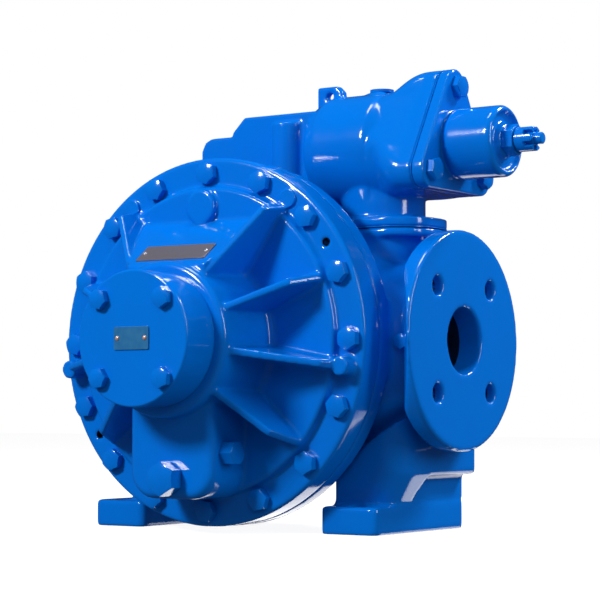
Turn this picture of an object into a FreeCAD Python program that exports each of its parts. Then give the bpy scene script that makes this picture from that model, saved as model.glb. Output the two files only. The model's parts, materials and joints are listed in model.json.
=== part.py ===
import FreeCAD, Part
import math
import os

import Sketcher
from FreeCAD import Placement, Rotation, Vector

# Eccentric disc pump. Millimetres. The origin lies on the floor plane, in the middle of the four
# foot bolts. X points out of the right-hand port, Y runs along the shaft towards the drive end
# and Z points up. Most pieces are drawn about the shaft axis and lifted to the shaft height.

SIZES = {
    "rim_floor_gap": 5,
    "running_clearance": 0.3,
    "fit_clearance": 0.05,
    "eccentricity": 8,
    # Front cover
    "cover_front": 115,
    "rim_width": 57,
    "cover_flange_thickness": 27,
    "cover_bolt_inset": 15,
    "cover_bolt_count": 16,
    "step_inset": 27,
    "step_height": 8,
    "cover_wall": 12,
    "spigot_depth": 6,
    "cover_cavity_diameter": 216,
    "hub_front": 190,
    "hub_face_diameter": 144,
    "hub_root_diameter": 158,
    "hub_core_diameter": 100,
    "cover_hub_rounding": 6,
    "cover_hub_root_rounding": 8,
    "cover_edge_rounding": 3,
    "hub_mouth_diameter": 120,
    "rib_lowest_angle": 41,
    "rib_pitch_angle": 32,
    "rib_count": 4,
    "rib_thickness": 7,
    "rib_draft": 3,
    "rib_hub_height": 64,
    "rib_shoulder_height": 22,
    "rib_shoulder_reach": 1,
    "rib_toe_reach": 9,
    "short_rib_shoulder_height": 33,
    "short_rib_shoulder_reach": -17,
    "short_rib_toe_reach": -2,
    "lug_radius": 9,
    "lug_height": 17,
    "jack_hole_diameter": 8,
    "jack_hole_angle": 33.75,
    "ramp_hub_height": 69,
    "ramp_root_inset": 30,
    "name_plate_length": 80,
    "name_plate_width": 24,
    "plate_thickness": 1.2,
    "name_plate_inset": 20,
    "ramp_hub_half_width": 46,
    "ramp_root_half_width": 78,
    "ramp_depth": 59,
    "top_boss_diameter": 33,
    "top_boss_height": 7,
    "top_boss_inset": 21,
    "drain_boss_width": 96,
    "drain_boss_inset": 1,
    "drain_boss_height": 52,
    "drain_boss_corner": 26,
    "drain_boss_rounding": 8,
    "drain_plug_inset": 20,
    "drain_plug_flats": 28,
    "drain_plug_length": 16,
    "drain_plug_diameter": 24,
    "side_plug_inset": 44,
    "side_plug_flats": 20,
    "side_plug_length": 14,
    "side_plug_diameter": 14,
    "oring_rise": 10.5,
    "oring_section": 4,
    # Bearing cap
    "cap_diameter": 125,
    "cap_length": 40,
    "cap_rounding": 2,
    "cap_cavity_depth": 26,
    "cap_bolt_circle": 102,
    "cap_bolt_count": 4,
    "bearing_recess": 4,
    "cap_plate_length": 40,
    "cap_plate_width": 21,
    # Casing
    "body_flange_thickness": 20,
    "drum_wall": 12,
    "drum_chamfer": 14,
    "drum_root_rounding": 6,
    "body_rim_rounding": 2,
    "rear_hub_rounding": 10,
    "drum_rear": 104,
    "chamber_diameter": 236,
    "chamber_seat": 34,
    "rear_chamber_diameter": 190,
    "rear_wall": 90,
    "rear_hub_diameter": 136,
    "rear_hub_end": 142,
    "port_reach": 84,
    "left_port_reach": 50,
    "port_flange_diameter": 208,
    "port_flange_thickness": 20,
    "port_bolt_circle": 139.7,
    "port_hole_diameter": 18,
    "port_bore_diameter": 62.7,
    "port_hole_depth": 20,
    "port_relief_reach": 77.5,
    "neck_root_diameter": 200,
    "neck_end_diameter": 132,
    "neck_length": 58,
    "neck_end_gap": 30,
    "foot_outer": 166,
    "foot_inner": 104,
    "foot_half_length": 82,
    "foot_thickness": 26,
    "foot_corner": 7,
    "foot_hole_spacing_x": 270,
    "foot_hole_spacing_y": 138,
    "foot_hole_diameter": 14,
    "column_shoulder": 180,
    "column_base": 162,
    "column_inner": 107,
    "column_top_inner": 75,
    "left_column_outer": 150,
    "column_front": 60,
    "column_rear": 81,
    "column_corner": 25,
    "column_shoulder_height": 56,
    "column_top_height": 118,
    "column_web_thickness": 28,
    "column_web_height": 60,
    "column_web_slope": 35,
    "recess_wall": 165,
    "recess_height": 27,
    "recess_front": -12,
    "bolt_pocket_width": 30,
    "bolt_pocket_front": 50,
    "right_pad_drop": 23,
    "left_pad_rise": 9,
    "right_pad_half_length": 60,
    "right_pad_half_width": 46,
    "right_pad_corner": 40,
    "right_pad_flange": 9,
    "left_pad_corner": 12,
    "left_pad_outer": 100,
    "left_pad_inner": 40,
    "left_pad_half_width": 66,
    "left_bolt_reach": 6,
    # Cylinder and disc
    "cylinder_gap": 12,
    "channel_wall": 8,
    "channel_inner_diameter": 136,
    "cylinder_front": 34,
    "channel_floor": 22,
    "lip_thickness": 10,
    "window_low": 50,
    "window_high": 76,
    "window_half_length": 22,
    "web_thickness": 12,
    "bush_thickness": 5.5,
    "slot_clearance": 1,
    "partition_inner_key": 6,
    "partition_outer_key": 4,
    "disc_overlap": 1,
    "disc_thickness": 12,
    "disc_hub_diameter": 140,
    "disc_hub_length": 40,
    "disc_hub_rounding": 5,
    "disc_through_diameter": 84,
    "partition_thickness": 6,
    # Shaft and bearings
    "front_journal_diameter": 40,
    "front_bearing_outer_diameter": 80,
    "front_bearing_width": 18,
    "shaft_collar_diameter": 50,
    "eccentric_diameter": 65,
    "eccentric_shoulder_diameter": 74,
    "eccentric_bearing_outer_diameter": 120,
    "eccentric_bearing_width": 23,
    "eccentric_bearing_recess": 4,
    "rear_journal_diameter": 45,
    "rear_bearing_outer_diameter": 100,
    "rear_bearing_width": 25,
    "drive_diameter": 38,
    "drive_length": 80,
    "shaft_end": 236,
    "key_width": 10,
    "key_depth": 5,
    "key_length": 60,
    "key_angle": 67.5,
    "race_thickness": 6,
    "thick_race": 8,
    "front_thread_diameter": 35,
    "front_nut_diameter": 52,
    "front_nut_thickness": 12,
    "nut_slot": 6,
    "retaining_ring_thickness": 3,
    "retaining_ring_height": 4,
    "roller_gap": 0.3,
    "roller_count": 12,
    "eccentric_roller_count": 14,
    "ball_count": 8,
    "rear_bearing_recess": 5,
    # Rear bearing cap
    "rear_cap_diameter": 130,
    "rear_cap_thickness": 14,
    "rear_cap_bolt_circle": 116,
    "rear_cap_bolt_count": 6,
    "seal_diameter": 62,
    "seal_width": 10,
    # Relief valve
    "valve_axis_rise": 55,
    "barrel_diameter": 110,
    "barrel_left": 58,
    "barrel_bore_diameter": 68,
    "valve_face": 193,
    "flare_start": 132,
    "flare_end": 179,
    "flange_bolt_radius": 55,
    "flange_lobe_radius": 17,
    "neck_centre": 125,
    "valve_neck_diameter": 80,
    "valve_passage_diameter": 48,
    "valve_plate_thickness": 12,
    "neck_plate_thickness": 9,
    "neck_rounding": 3,
    "neck_screw_reach": 50.5,
    "neck_screw_diameter": 8,
    "neck_screw_head_diameter": 13,
    "neck_screw_head": 5,
    "neck_screw_thread": 8,
    "box_top": 39,
    "box_rounding": 14,
    "box_left": 28,
    "box_half_width": 38,
    "shoulder_top": 21,
    "shoulder_left": 66,
    "left_passage_centre": 24,
    "left_passage_diameter": 40,
    "valve_bolt_inset": 11,
    "box_right": 72,
    "vent_thread_diameter": 16,
    "seat_wall_left": 64,
    "seat_wall_right": 80,
    "seat_bore_diameter": 44,
    "bolt_column_radius": 16,
    "bolt_column_x": 38,
    "bolt_column_y": 36,
    "bolt_column_top": 29,
    "lifting_lug_left": 51,
    "lifting_lug_right": 80,
    "lifting_lug_top": 67,
    "lifting_lug_thickness": 10,
    "lifting_lug_hole": 8,
    "vent_plug_x": 123,
    "vent_plug_head": 3,
    "vent_plug_diameter": 23,
    "valve_cap_flange_thickness": 12,
    "valve_cap_diameter": 67.2,
    "valve_cap_face": 260,
    "valve_cap_bore_diameter": 52,
    "valve_cap_wall": 10,
    "gasket_thickness": 1,
    "screw_diameter": 16,
    "screw_inner_end": 178,
    "screw_collar_diameter": 23,
    "screw_collar_end": 289,
    "screw_tip_diameter": 11,
    "screw_tip_end": 297,
    "lock_nut_flats": 26,
    "lock_nut_height": 11,
    "castle_slot": 5,
    "poppet_diameter": 62,
    "poppet_thickness": 8,
    "poppet_stem_diameter": 16,
    "poppet_stem_length": 36,
    "spring_diameter": 48,
    "spring_wire": 6,
    "spring_turns": 6,
    "spring_plate_thickness": 8,
    # Fasteners
    "long_thread": 20,
    "short_thread": 14,
    "thread_relief": 2,
    "hole_clearance": 0.5,
    "cover_bolt_diameter": 12,
    "cover_bolt_flats": 19,
    "cover_bolt_head": 8,
    "cap_bolt_diameter": 10,
    "cap_bolt_flats": 17,
    "cap_bolt_head": 7,
    "valve_bolt_diameter": 12,
    "valve_bolt_flats": 19,
    "valve_bolt_head": 8,
    "cylinder_screw_diameter": 6,
    "cylinder_screw_flats": 10,
    "cylinder_screw_head": 4,
    "cylinder_screw_count": 6,
    "rear_bolt_diameter": 8,
    "rear_bolt_flats": 13,
    "rear_bolt_head": 5,
}

doc = FreeCAD.newDocument("eccentric_disc_pump")
sheet = doc.addObject("Spreadsheet::Sheet", "Sizes")
for row, (alias, size) in enumerate(SIZES.items(), start=1):
    sheet.set(f"A{row}", alias)
    sheet.set(f"B{row}", str(size))
    sheet.setAlias(f"B{row}", alias)
doc.recompute()

# Radii and heights that follow the pumping chamber
CHAMBER = "(Sizes.chamber_diameter / 2)"
RIM = f"({CHAMBER} + Sizes.rim_width)"
STEP = f"({RIM} - Sizes.step_inset)"
BOLT_REACH = f"({RIM} - Sizes.cover_bolt_inset)"
ORING = f"({CHAMBER} + Sizes.oring_rise)"
DRUM = f"({CHAMBER} + Sizes.drum_wall)"
CYLINDER = f"({CHAMBER} - Sizes.cylinder_gap)"
CHANNEL = f"({CYLINDER} - Sizes.channel_wall)"
CHANNEL_HUB = "(Sizes.channel_inner_diameter / 2)"
SCREW_REACH = f"(({CYLINDER} + {CHAMBER}) / 2)"
PARTITION_INNER = f"({CHANNEL_HUB} - Sizes.partition_inner_key)"
PARTITION_OUTER = f"({CHANNEL} + Sizes.partition_outer_key)"
DISC = f"({CYLINDER} + Sizes.disc_overlap)"
SHAFT_HEIGHT = f"({RIM} + Sizes.rim_floor_gap)"
PORT_FACE = f"({DRUM} + Sizes.port_reach)"
LEFT_PORT_FACE = f"({DRUM} + Sizes.left_port_reach)"
RIGHT_PAD = f"({DRUM} - Sizes.right_pad_drop)"
LEFT_PAD = f"({DRUM} + Sizes.left_pad_rise)"
VALVE_RISE = f"({DRUM} + Sizes.valve_axis_rise)"

# Places along the shaft, written from the sheet's sizes
COVER_FACE = "(-Sizes.cover_front)"
PLATEAU = "(-Sizes.cover_front - Sizes.step_height)"
JOINT = "(-Sizes.cover_front + Sizes.cover_flange_thickness)"
FLANGE_BACK = f"({JOINT} + Sizes.body_flange_thickness)"
HUB_FACE = "(-Sizes.hub_front)"
CAP_FACE = "(-Sizes.hub_front - Sizes.gasket_thickness - Sizes.cap_length)"
FLOOR = f"(-{SHAFT_HEIGHT})"
CYLINDER_FRONT = "(-Sizes.cylinder_front)"
BEARING_BACK = f"({HUB_FACE} + Sizes.bearing_recess + Sizes.front_bearing_width)"
HUB_WEB = f"({BEARING_BACK} + Sizes.cover_wall)"
DISC_BACK = f"({CYLINDER_FRONT} - Sizes.running_clearance)"
DISC_FACE = f"({DISC_BACK} - Sizes.disc_thickness)"
DISC_HUB_END = f"({DISC_FACE} - Sizes.disc_hub_length)"
ECCENTRIC_FRONT = f"({DISC_HUB_END} + Sizes.eccentric_bearing_recess)"
REAR_JOURNAL = "Sizes.rear_journal_diameter / 2"
SIDE_PLUG_PLACE = f"({PLATEAU} - Sizes.drain_boss_height / 2 - 3)"
SIDE_PLUG_HEIGHT = f"(Sizes.side_plug_inset - {STEP})"
DRAIN_PLUG_PLACE = f"(Sizes.drain_plug_inset - {STEP})"
RAMP_ROOT = f"({STEP} - Sizes.ramp_root_inset)"

# Places on the relief valve, above the shaft or along the valve's own axis
VALVE_AXIS = f"({SHAFT_HEIGHT} + {VALVE_RISE})"
RIGHT_SEAT = f"({RIGHT_PAD} + Sizes.gasket_thickness - {VALVE_RISE})"
LEFT_SEAT = f"({LEFT_PAD} + Sizes.gasket_thickness - {VALVE_RISE})"
VENT_TOP = "(Sizes.barrel_diameter / 2 + 1)"
CAP_SEAT = "(Sizes.valve_face + Sizes.gasket_thickness)"
POPPET_START = "(Sizes.seat_wall_right + Sizes.running_clearance)"
SPRING_START = f"({POPPET_START} + Sizes.poppet_thickness)"
PLATE_START = "(Sizes.screw_inner_end - Sizes.spring_plate_thickness)"

INSET = "Sizes.valve_bolt_inset"
NECK_SCREWS = [(f"(Sizes.neck_centre {sign} Sizes.neck_screw_reach)", "0") for sign in ("-", "+")]
NECK_OUTLINE = ("(Sizes.neck_centre - Sizes.right_pad_half_length)",
                "(Sizes.neck_centre + Sizes.right_pad_half_length)",
                "-Sizes.right_pad_half_width", "Sizes.right_pad_half_width", "Sizes.right_pad_corner")
LEFT_BOLTS = [(u, f"{sign}(Sizes.left_pad_half_width - {INSET})")
              for u in (f"(-Sizes.left_pad_outer + {INSET})", "(-Sizes.left_bolt_reach)")
              for sign in ("-", "")]

PARTS = []


def value(expression):
    """Number that an expression on the sheet gives."""
    return float(sheet.evalExpression(expression))


def new_body(name):
    """Empty body whose label names its file."""
    body = doc.addObject("PartDesign::Body", name)
    body.Label = name
    PARTS.append(body)
    return body


def lift(body, x="0", y="0", z=SHAFT_HEIGHT):
    """Bind the body's place to sizes."""
    body.setExpression("Placement.Base.x", x)
    body.setExpression("Placement.Base.y", y)
    body.setExpression("Placement.Base.z", z)


def origin_feature(body, role):
    """Plane or axis of the body's own origin."""
    return next(item for item in body.Origin.OriginFeatures if item.Role == role)


def new_sketch(body, name, plane, offset="0"):
    """Sketch on an origin plane, moved along the plane's normal by an expression.

    XY sketches rise along Z, YZ sketches along X, and XZ sketches move towards the front, -Y.
    """
    sketch = body.newObject("Sketcher::SketchObject", name)
    sketch.AttachmentSupport = [(origin_feature(body, plane), "")]
    sketch.MapMode = "FlatFace"
    sketch.setExpression("AttachmentOffset.Base.z", offset)
    return sketch


def bind(sketch, kind, geometry, point, expression):
    """Tie one coordinate of a point, from the sketch's origin, to an expression."""
    index = sketch.addConstraint(
        Sketcher.Constraint(kind, -1, 1, geometry, point, value(expression)))
    sketch.setExpression(f"Constraints[{index}]", expression)


def bind_radius(sketch, geometry, expression):
    """Tie a radius to an expression."""
    index = sketch.addConstraint(Sketcher.Constraint("Radius", geometry, value(expression)))
    sketch.setExpression(f"Constraints[{index}]", expression)


def polygon(sketch, points):
    """Closed outline through points given as pairs of expressions."""
    corners = [Vector(value(u), value(v), 0) for u, v in points]
    first = sketch.GeometryCount
    count = len(points)
    for index in range(count):
        sketch.addGeometry(Part.LineSegment(corners[index], corners[(index + 1) % count]), False)
    for index in range(count):
        following = first + (index + 1) % count
        sketch.addConstraint(Sketcher.Constraint("Coincident", first + index, 2, following, 1))
    for index, (u, v) in enumerate(points):
        bind(sketch, "DistanceX", first + index, 1, u)
        bind(sketch, "DistanceY", first + index, 1, v)


def circle(sketch, u, v, radius):
    """Circle whose centre and radius are expressions."""
    place = Vector(value(u), value(v), 0)
    geometry = sketch.addGeometry(Part.Circle(place, Vector(0, 0, 1), value(radius)), False)
    bind(sketch, "DistanceX", geometry, 3, u)
    bind(sketch, "DistanceY", geometry, 3, v)
    bind_radius(sketch, geometry, radius)


def rounded_box(sketch, left, right, low, high, radius):
    """Rectangle with four round corners."""
    r = value(radius)
    x0, x1, y0, y1 = value(left), value(right), value(low), value(high)
    corners = [(x1 - r, y1 - r, 0), (x0 + r, y1 - r, 90), (x0 + r, y0 + r, 180), (x1 - r, y0 + r, 270)]
    places = [
        (f"{right} - {radius}", f"{high} - {radius}"),
        (f"{left} + {radius}", f"{high} - {radius}"),
        (f"{left} + {radius}", f"{low} + {radius}"),
        (f"{right} - {radius}", f"{low} + {radius}"),
    ]
    first = sketch.GeometryCount
    for x, y, start in corners:
        arc = Part.ArcOfCircle(Part.Circle(Vector(x, y, 0), Vector(0, 0, 1), r),
                               math.radians(start), math.radians(start + 90))
        sketch.addGeometry(arc, False)
    for index in range(4):
        end = sketch.getPoint(first + index, 2)
        start = sketch.getPoint(first + (index + 1) % 4, 1)
        sketch.addGeometry(Part.LineSegment(end, start), False)
    for index, (u, v) in enumerate(places):
        side = first + 4 + index
        sketch.addConstraint(Sketcher.Constraint("Tangent", first + index, 2, side, 1))
        sketch.addConstraint(Sketcher.Constraint("Tangent", side, 2, first + (index + 1) % 4, 1))
        bind(sketch, "DistanceX", first + index, 3, u)
        bind(sketch, "DistanceY", first + index, 3, v)
        bind_radius(sketch, first + index, radius)


def lobed_triangle(sketch, reach, radius):
    """Three round lobes about the sketch's origin, one on top, joined by straight tangents."""
    size, r = value(reach), value(radius)
    first = sketch.GeometryCount
    for index in range(3):
        angle = 90 + 120 * index
        centre = Vector(size * math.cos(math.radians(angle)), size * math.sin(math.radians(angle)), 0)
        arc = Part.ArcOfCircle(Part.Circle(centre, Vector(0, 0, 1), r),
                               math.radians(angle - 60), math.radians(angle + 60))
        sketch.addGeometry(arc, False)
    for index in range(3):
        end = sketch.getPoint(first + index, 2)
        start = sketch.getPoint(first + (index + 1) % 3, 1)
        sketch.addGeometry(Part.LineSegment(end, start), False)
    for index in range(3):
        side = first + 3 + index
        angle = 90 + 120 * index
        sketch.addConstraint(Sketcher.Constraint("Tangent", first + index, 2, side, 1))
        sketch.addConstraint(Sketcher.Constraint("Tangent", side, 2, first + (index + 1) % 3, 1))
        bind(sketch, "DistanceX", first + index, 3, f"{reach} * cos({angle})")
        bind(sketch, "DistanceY", first + index, 3, f"{reach} * sin({angle})")
        bind_radius(sketch, first + index, radius)


def revolve(body, name, points, axis="V_Axis", cut=False, plane="XY_Plane"):
    """Turn an outline of (radius, place along the axis) pairs about an axis of its sketch."""
    sketch = new_sketch(body, f"{name}_outline", plane)
    polygon(sketch, points)
    kind = "PartDesign::Groove" if cut else "PartDesign::Revolution"
    feature = body.newObject(kind, name)
    feature.Profile = sketch
    feature.ReferenceAxis = (sketch, [axis])
    feature.Angle = 360
    body.Tip = feature
    doc.recompute()
    return feature


def pad(body, name, sketch, length, symmetric=False, reverse=False):
    """Pad a sketch along its normal."""
    feature = body.newObject("PartDesign::Pad", name)
    feature.Profile = sketch
    feature.setExpression("Length", length)
    feature.SideType = "Symmetric" if symmetric else "One side"
    feature.Reversed = reverse
    body.Tip = feature
    doc.recompute()
    return feature


def pocket(body, name, sketch, length, symmetric=False, reverse=False):
    """Cut a sketch against its normal, and check that something was removed."""
    before = body.Shape.Volume
    feature = body.newObject("PartDesign::Pocket", name)
    feature.Profile = sketch
    feature.setExpression("Length", length)
    feature.SideType = "Symmetric" if symmetric else "One side"
    feature.Reversed = reverse
    body.Tip = feature
    doc.recompute()
    if not body.Shape.Volume < before:
        raise RuntimeError(f"{body.Label}: {name} removes nothing")
    return feature


def ring_pattern(body, name, features, axis, count):
    """Repeat features evenly about one of the body's origin axes."""
    pattern = body.newObject("PartDesign::PolarPattern", name)
    pattern.Originals = features
    pattern.Axis = (origin_feature(body, axis), [""])
    pattern.Angle = 360
    pattern.setExpression("Occurrences", count)
    body.Tip = pattern
    doc.recompute()
    return pattern


def round_edges(body, name, radius, wanted):
    """Fillet the edges for which wanted(edge) is true, with a radius from the sheet."""
    base = body.Tip
    names = [f"Edge{number}" for number, edge in enumerate(base.Shape.Edges, start=1) if wanted(edge)]
    if not names:
        raise RuntimeError(f"{body.Label}: {name} finds no edge")
    fillet = body.newObject("PartDesign::Fillet", name)
    fillet.Base = (base, names)
    fillet.setExpression("Radius", radius)
    body.Tip = fillet
    doc.recompute()
    return fillet


def on_circle(edge, radius, place):
    """True for a circle of this radius about the shaft, at this place along Y."""
    curve = edge.Curve
    if not isinstance(curve, Part.Circle):
        return False
    about_shaft = abs(curve.Center.x) < 0.01 and abs(curve.Center.z) < 0.01
    return about_shaft and abs(curve.Radius - radius) < 0.01 and abs(curve.Center.y - place) < 0.01


def hexagon(sketch, u, v, flats):
    """Hexagon of a given width across flats about a point."""
    points = []
    for index in range(6):
        angle = 60 * index + 30
        points.append((f"{u} + {flats} / sqrt(3) * cos({angle})", f"{v} + {flats} / sqrt(3) * sin({angle})"))
    polygon(sketch, points)


def bolt_ring(name, size, plane, axis, seat, reach, start, count, shank, outward=True):
    """Group of equal hex bolts round an axis, with their heads on a seat and shanks behind it.

    Args:
        name: Label of the group.
        size: Prefix of the fastener's sizes on the sheet.
        plane: Origin plane parallel to the seat.
        axis: Origin axis of the pattern.
        seat: Place of the seat along the plane's normal.
        reach: Radius of the bolt circle.
        start: Angle of the first bolt in the plane, in degrees.
        count: Number of bolts, as an expression.
        shank: Length of the shank.
        outward: True where the plane's normal points out of the heads.
    """
    body = new_body(name)
    u = f"{reach} * cos({start})"
    v = f"{reach} * sin({start})"
    head_sketch = new_sketch(body, f"{name}_head_outline", plane, seat)
    hexagon(head_sketch, u, v, f"Sizes.{size}_flats")
    head = pad(body, f"{name}_head", head_sketch, f"Sizes.{size}_head", reverse=not outward)
    shank_sketch = new_sketch(body, f"{name}_shank_outline", plane, seat)
    circle(shank_sketch, u, v, f"Sizes.{size}_diameter / 2")
    rod = pad(body, f"{name}_shank", shank_sketch, shank, reverse=outward)
    ring_pattern(body, f"{name}_ring", [head, rod], axis, count)
    lift(body)
    return body


# Front cover: a dished casting with a bearing hub, drafted ribs, lugs, a ramp and a drain boss
def rib_section(body, name, angle, reach, height):
    """Outline across a rib at a distance from the shaft: narrow on top, wider at its root."""
    sketch = body.newObject("Sketcher::SketchObject", name)
    sketch.AttachmentSupport = [(origin_feature(body, "YZ_Plane"), "")]
    sketch.MapMode = "FlatFace"
    sketch.AttachmentOffset = Placement(Vector(0, 0, 0), Rotation(Vector(1, 0, 0), -value(angle)))
    sketch.setExpression("AttachmentOffset.Base.y", f"({reach}) * sin({angle})")
    sketch.setExpression("AttachmentOffset.Base.z", f"({reach}) * cos({angle})")
    sketch.setExpression("AttachmentOffset.Rotation.Angle", f"-({angle})")
    half = "Sizes.rib_thickness / 2"
    root = f"({half} + ({height} + 6) * tan(Sizes.rib_draft))"
    top = f"{PLATEAU} - {height}"
    base = f"{PLATEAU} + 6"
    polygon(sketch, [(top, f"-{half}"), (base, f"-{root}"), (base, root), (top, half)])
    return sketch


def make_front_cover():
    """Cover casting, with its rim bolted to the casing and its hub round the front bearing."""
    body = new_body("front_cover")
    rim = RIM
    step = STEP
    inner_wall = f"({PLATEAU} + Sizes.cover_wall)"
    spigot = f"{CHAMBER} - Sizes.fit_clearance"
    spigot_end = f"({JOINT} + Sizes.spigot_depth)"
    groove = ORING
    revolve(body, "cover_casting", [
        ("Sizes.front_bearing_outer_diameter / 2", HUB_FACE),
        ("Sizes.hub_face_diameter / 2", HUB_FACE),
        ("Sizes.hub_root_diameter / 2", PLATEAU),
        (f"{step} - 2", PLATEAU),
        (step, COVER_FACE),
        (rim, COVER_FACE),
        (rim, JOINT),
        (f"{groove} + Sizes.oring_section / 2", JOINT),
        (f"{groove} + Sizes.oring_section / 2", f"{JOINT} - Sizes.oring_section"),
        (f"{groove} - Sizes.oring_section / 2", f"{JOINT} - Sizes.oring_section"),
        (f"{groove} - Sizes.oring_section / 2", JOINT),
        (spigot, JOINT),
        (spigot, spigot_end),
        ("Sizes.cover_cavity_diameter / 2", spigot_end),
        ("Sizes.cover_cavity_diameter / 2", inner_wall),
        ("Sizes.hub_mouth_diameter / 2", inner_wall),
        ("Sizes.hub_core_diameter / 2", HUB_WEB),
        ("Sizes.front_bearing_outer_diameter / 2 - 6", HUB_WEB),
        ("Sizes.front_bearing_outer_diameter / 2 - 6", BEARING_BACK),
        ("Sizes.front_bearing_outer_diameter / 2", BEARING_BACK),
    ])
    face, plateau, hub = value(COVER_FACE), value(PLATEAU), value(HUB_FACE)
    round_edges(body, "hub_rounding", "Sizes.cover_hub_rounding",
                lambda edge: on_circle(edge, value("Sizes.hub_face_diameter / 2"), hub))
    round_edges(body, "hub_root_rounding", "Sizes.cover_hub_root_rounding",
                lambda edge: on_circle(edge, value("Sizes.hub_root_diameter / 2"), plateau))
    round_edges(body, "rim_rounding", "Sizes.cover_edge_rounding",
                lambda edge: on_circle(edge, value(rim), face))
    round_edges(body, "step_rounding", "Sizes.cover_edge_rounding",
                lambda edge: on_circle(edge, value(f"{step} - 2"), plateau))

    for index in range(SIZES["rib_count"]):
        right = f"({index} * Sizes.rib_pitch_angle - Sizes.rib_lowest_angle)"
        for side, angle in (("right", right), ("left", f"(180 - {right})")):
            name = f"rib_{side}_{index + 1}"
            length = "rib" if index % 2 else "short_rib"
            stations = [
                ("Sizes.hub_core_diameter / 2 + 12", "Sizes.rib_hub_height"),
                (f"({STEP} + Sizes.{length}_shoulder_reach)", f"Sizes.{length}_shoulder_height"),
                (f"({STEP} + Sizes.{length}_toe_reach)", "2"),
            ]
            sections = [rib_section(body, f"{name}_section_{number}", angle, reach, height)
                        for number, (reach, height) in enumerate(stations, start=1)]
            rib = body.newObject("PartDesign::AdditiveLoft", name)
            rib.Profile = sections[0]
            rib.Sections = sections[1:]
            rib.Ruled = True
            body.Tip = rib
            doc.recompute()

    lugs = new_sketch(body, "lug_outline", "XZ_Plane", f"-({COVER_FACE}) - 4")
    for index in (1, 3):
        right = f"({index} * Sizes.rib_pitch_angle - Sizes.rib_lowest_angle)"
        for angle in (right, f"(180 - {right})"):
            circle(lugs, f"{BOLT_REACH} * cos({angle})",
                   f"{BOLT_REACH} * sin({angle})", "Sizes.lug_radius")
    pad(body, "lugs", lugs, "Sizes.lug_height + 4")

    low = new_sketch(body, "ramp_root_outline", "XZ_Plane", f"-({PLATEAU}) - 6")
    high = new_sketch(body, "ramp_hub_outline", "XZ_Plane", f"-({PLATEAU}) + Sizes.ramp_depth")
    inner, inner_height = "Sizes.ramp_hub_half_width - 6", "Sizes.ramp_hub_height - 14"
    polygon(low, [(f"-({inner})", inner_height), (inner, inner_height),
                  ("Sizes.ramp_root_half_width", RAMP_ROOT), ("-Sizes.ramp_root_half_width", RAMP_ROOT)])
    polygon(high, [(f"-({inner})", inner_height), (inner, inner_height),
                   ("Sizes.ramp_hub_half_width", "Sizes.ramp_hub_height"),
                   ("-Sizes.ramp_hub_half_width", "Sizes.ramp_hub_height")])
    ramp = body.newObject("PartDesign::AdditiveLoft", "name_plate_ramp")
    ramp.Profile = low
    ramp.Sections = [high]
    ramp.Ruled = True
    body.Tip = ramp
    doc.recompute()

    top_boss = new_sketch(body, "top_boss_outline", "XZ_Plane", f"-({PLATEAU}) - 4")
    circle(top_boss, "0", f"{STEP} - Sizes.top_boss_inset", "Sizes.top_boss_diameter / 2")
    pad(body, "top_boss", top_boss, "Sizes.top_boss_height + 4")

    drain = new_sketch(body, "drain_boss_outline", "XZ_Plane", f"-({PLATEAU}) - 4")
    rounded_box(drain, "-Sizes.drain_boss_width / 2", "Sizes.drain_boss_width / 2",
                f"(Sizes.drain_boss_inset - {STEP})", "-40", "Sizes.drain_boss_corner")
    pad(body, "drain_boss", drain, "Sizes.drain_boss_height + 4")
    front = value(f"{PLATEAU} - Sizes.drain_boss_height")
    round_edges(body, "drain_boss_rounding", "Sizes.drain_boss_rounding", lambda edge: all(
        abs(vertex.Y - front) < 0.01 for vertex in edge.Vertexes) and edge.BoundBox.ZMax < -60)

    bolts = new_sketch(body, "cover_bolt_hole_outline", "XZ_Plane", f"-({COVER_FACE})")
    circle(bolts, BOLT_REACH, "0", "Sizes.cover_bolt_diameter / 2 + Sizes.hole_clearance")
    hole = pocket(body, "cover_bolt_hole", bolts, "Sizes.cover_flange_thickness")
    ring_pattern(body, "cover_bolt_holes", [hole], "Y_Axis", "Sizes.cover_bolt_count")
    jacks = new_sketch(body, "jack_hole_outline", "XZ_Plane", f"-({COVER_FACE})")
    for angle in ("Sizes.jack_hole_angle", "(Sizes.jack_hole_angle + 180)"):
        circle(jacks, f"{BOLT_REACH} * cos({angle})",
               f"{BOLT_REACH} * sin({angle})", "Sizes.jack_hole_diameter / 2")
    pocket(body, "jack_holes", jacks, "Sizes.cover_flange_thickness")
    caps = new_sketch(body, "cap_bolt_hole_outline", "XZ_Plane", f"-({HUB_FACE})")
    circle(caps, "Sizes.cap_bolt_circle / 2 * cos(45)", "Sizes.cap_bolt_circle / 2 * sin(45)",
           "Sizes.cap_bolt_diameter / 2 + Sizes.fit_clearance")
    cap_hole = pocket(body, "cap_bolt_hole", caps, "Sizes.long_thread + Sizes.thread_relief")
    ring_pattern(body, "cap_bolt_holes", [cap_hole], "Y_Axis", "Sizes.cap_bolt_count")
    drain_hole = new_sketch(body, "drain_hole_outline", "XZ_Plane", f"-({PLATEAU}) + Sizes.drain_boss_height")
    circle(drain_hole, "0", DRAIN_PLUG_PLACE, "Sizes.drain_plug_diameter / 2 + Sizes.fit_clearance")
    pocket(body, "drain_hole", drain_hole, "Sizes.drain_plug_length")
    side_hole = new_sketch(body, "side_hole_outline", "YZ_Plane", "Sizes.drain_boss_width / 2")
    circle(side_hole, SIDE_PLUG_PLACE, SIDE_PLUG_HEIGHT,
           "Sizes.side_plug_diameter / 2 + Sizes.fit_clearance")
    pocket(body, "side_hole", side_hole, "Sizes.side_plug_length")
    lift(body)


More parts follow.
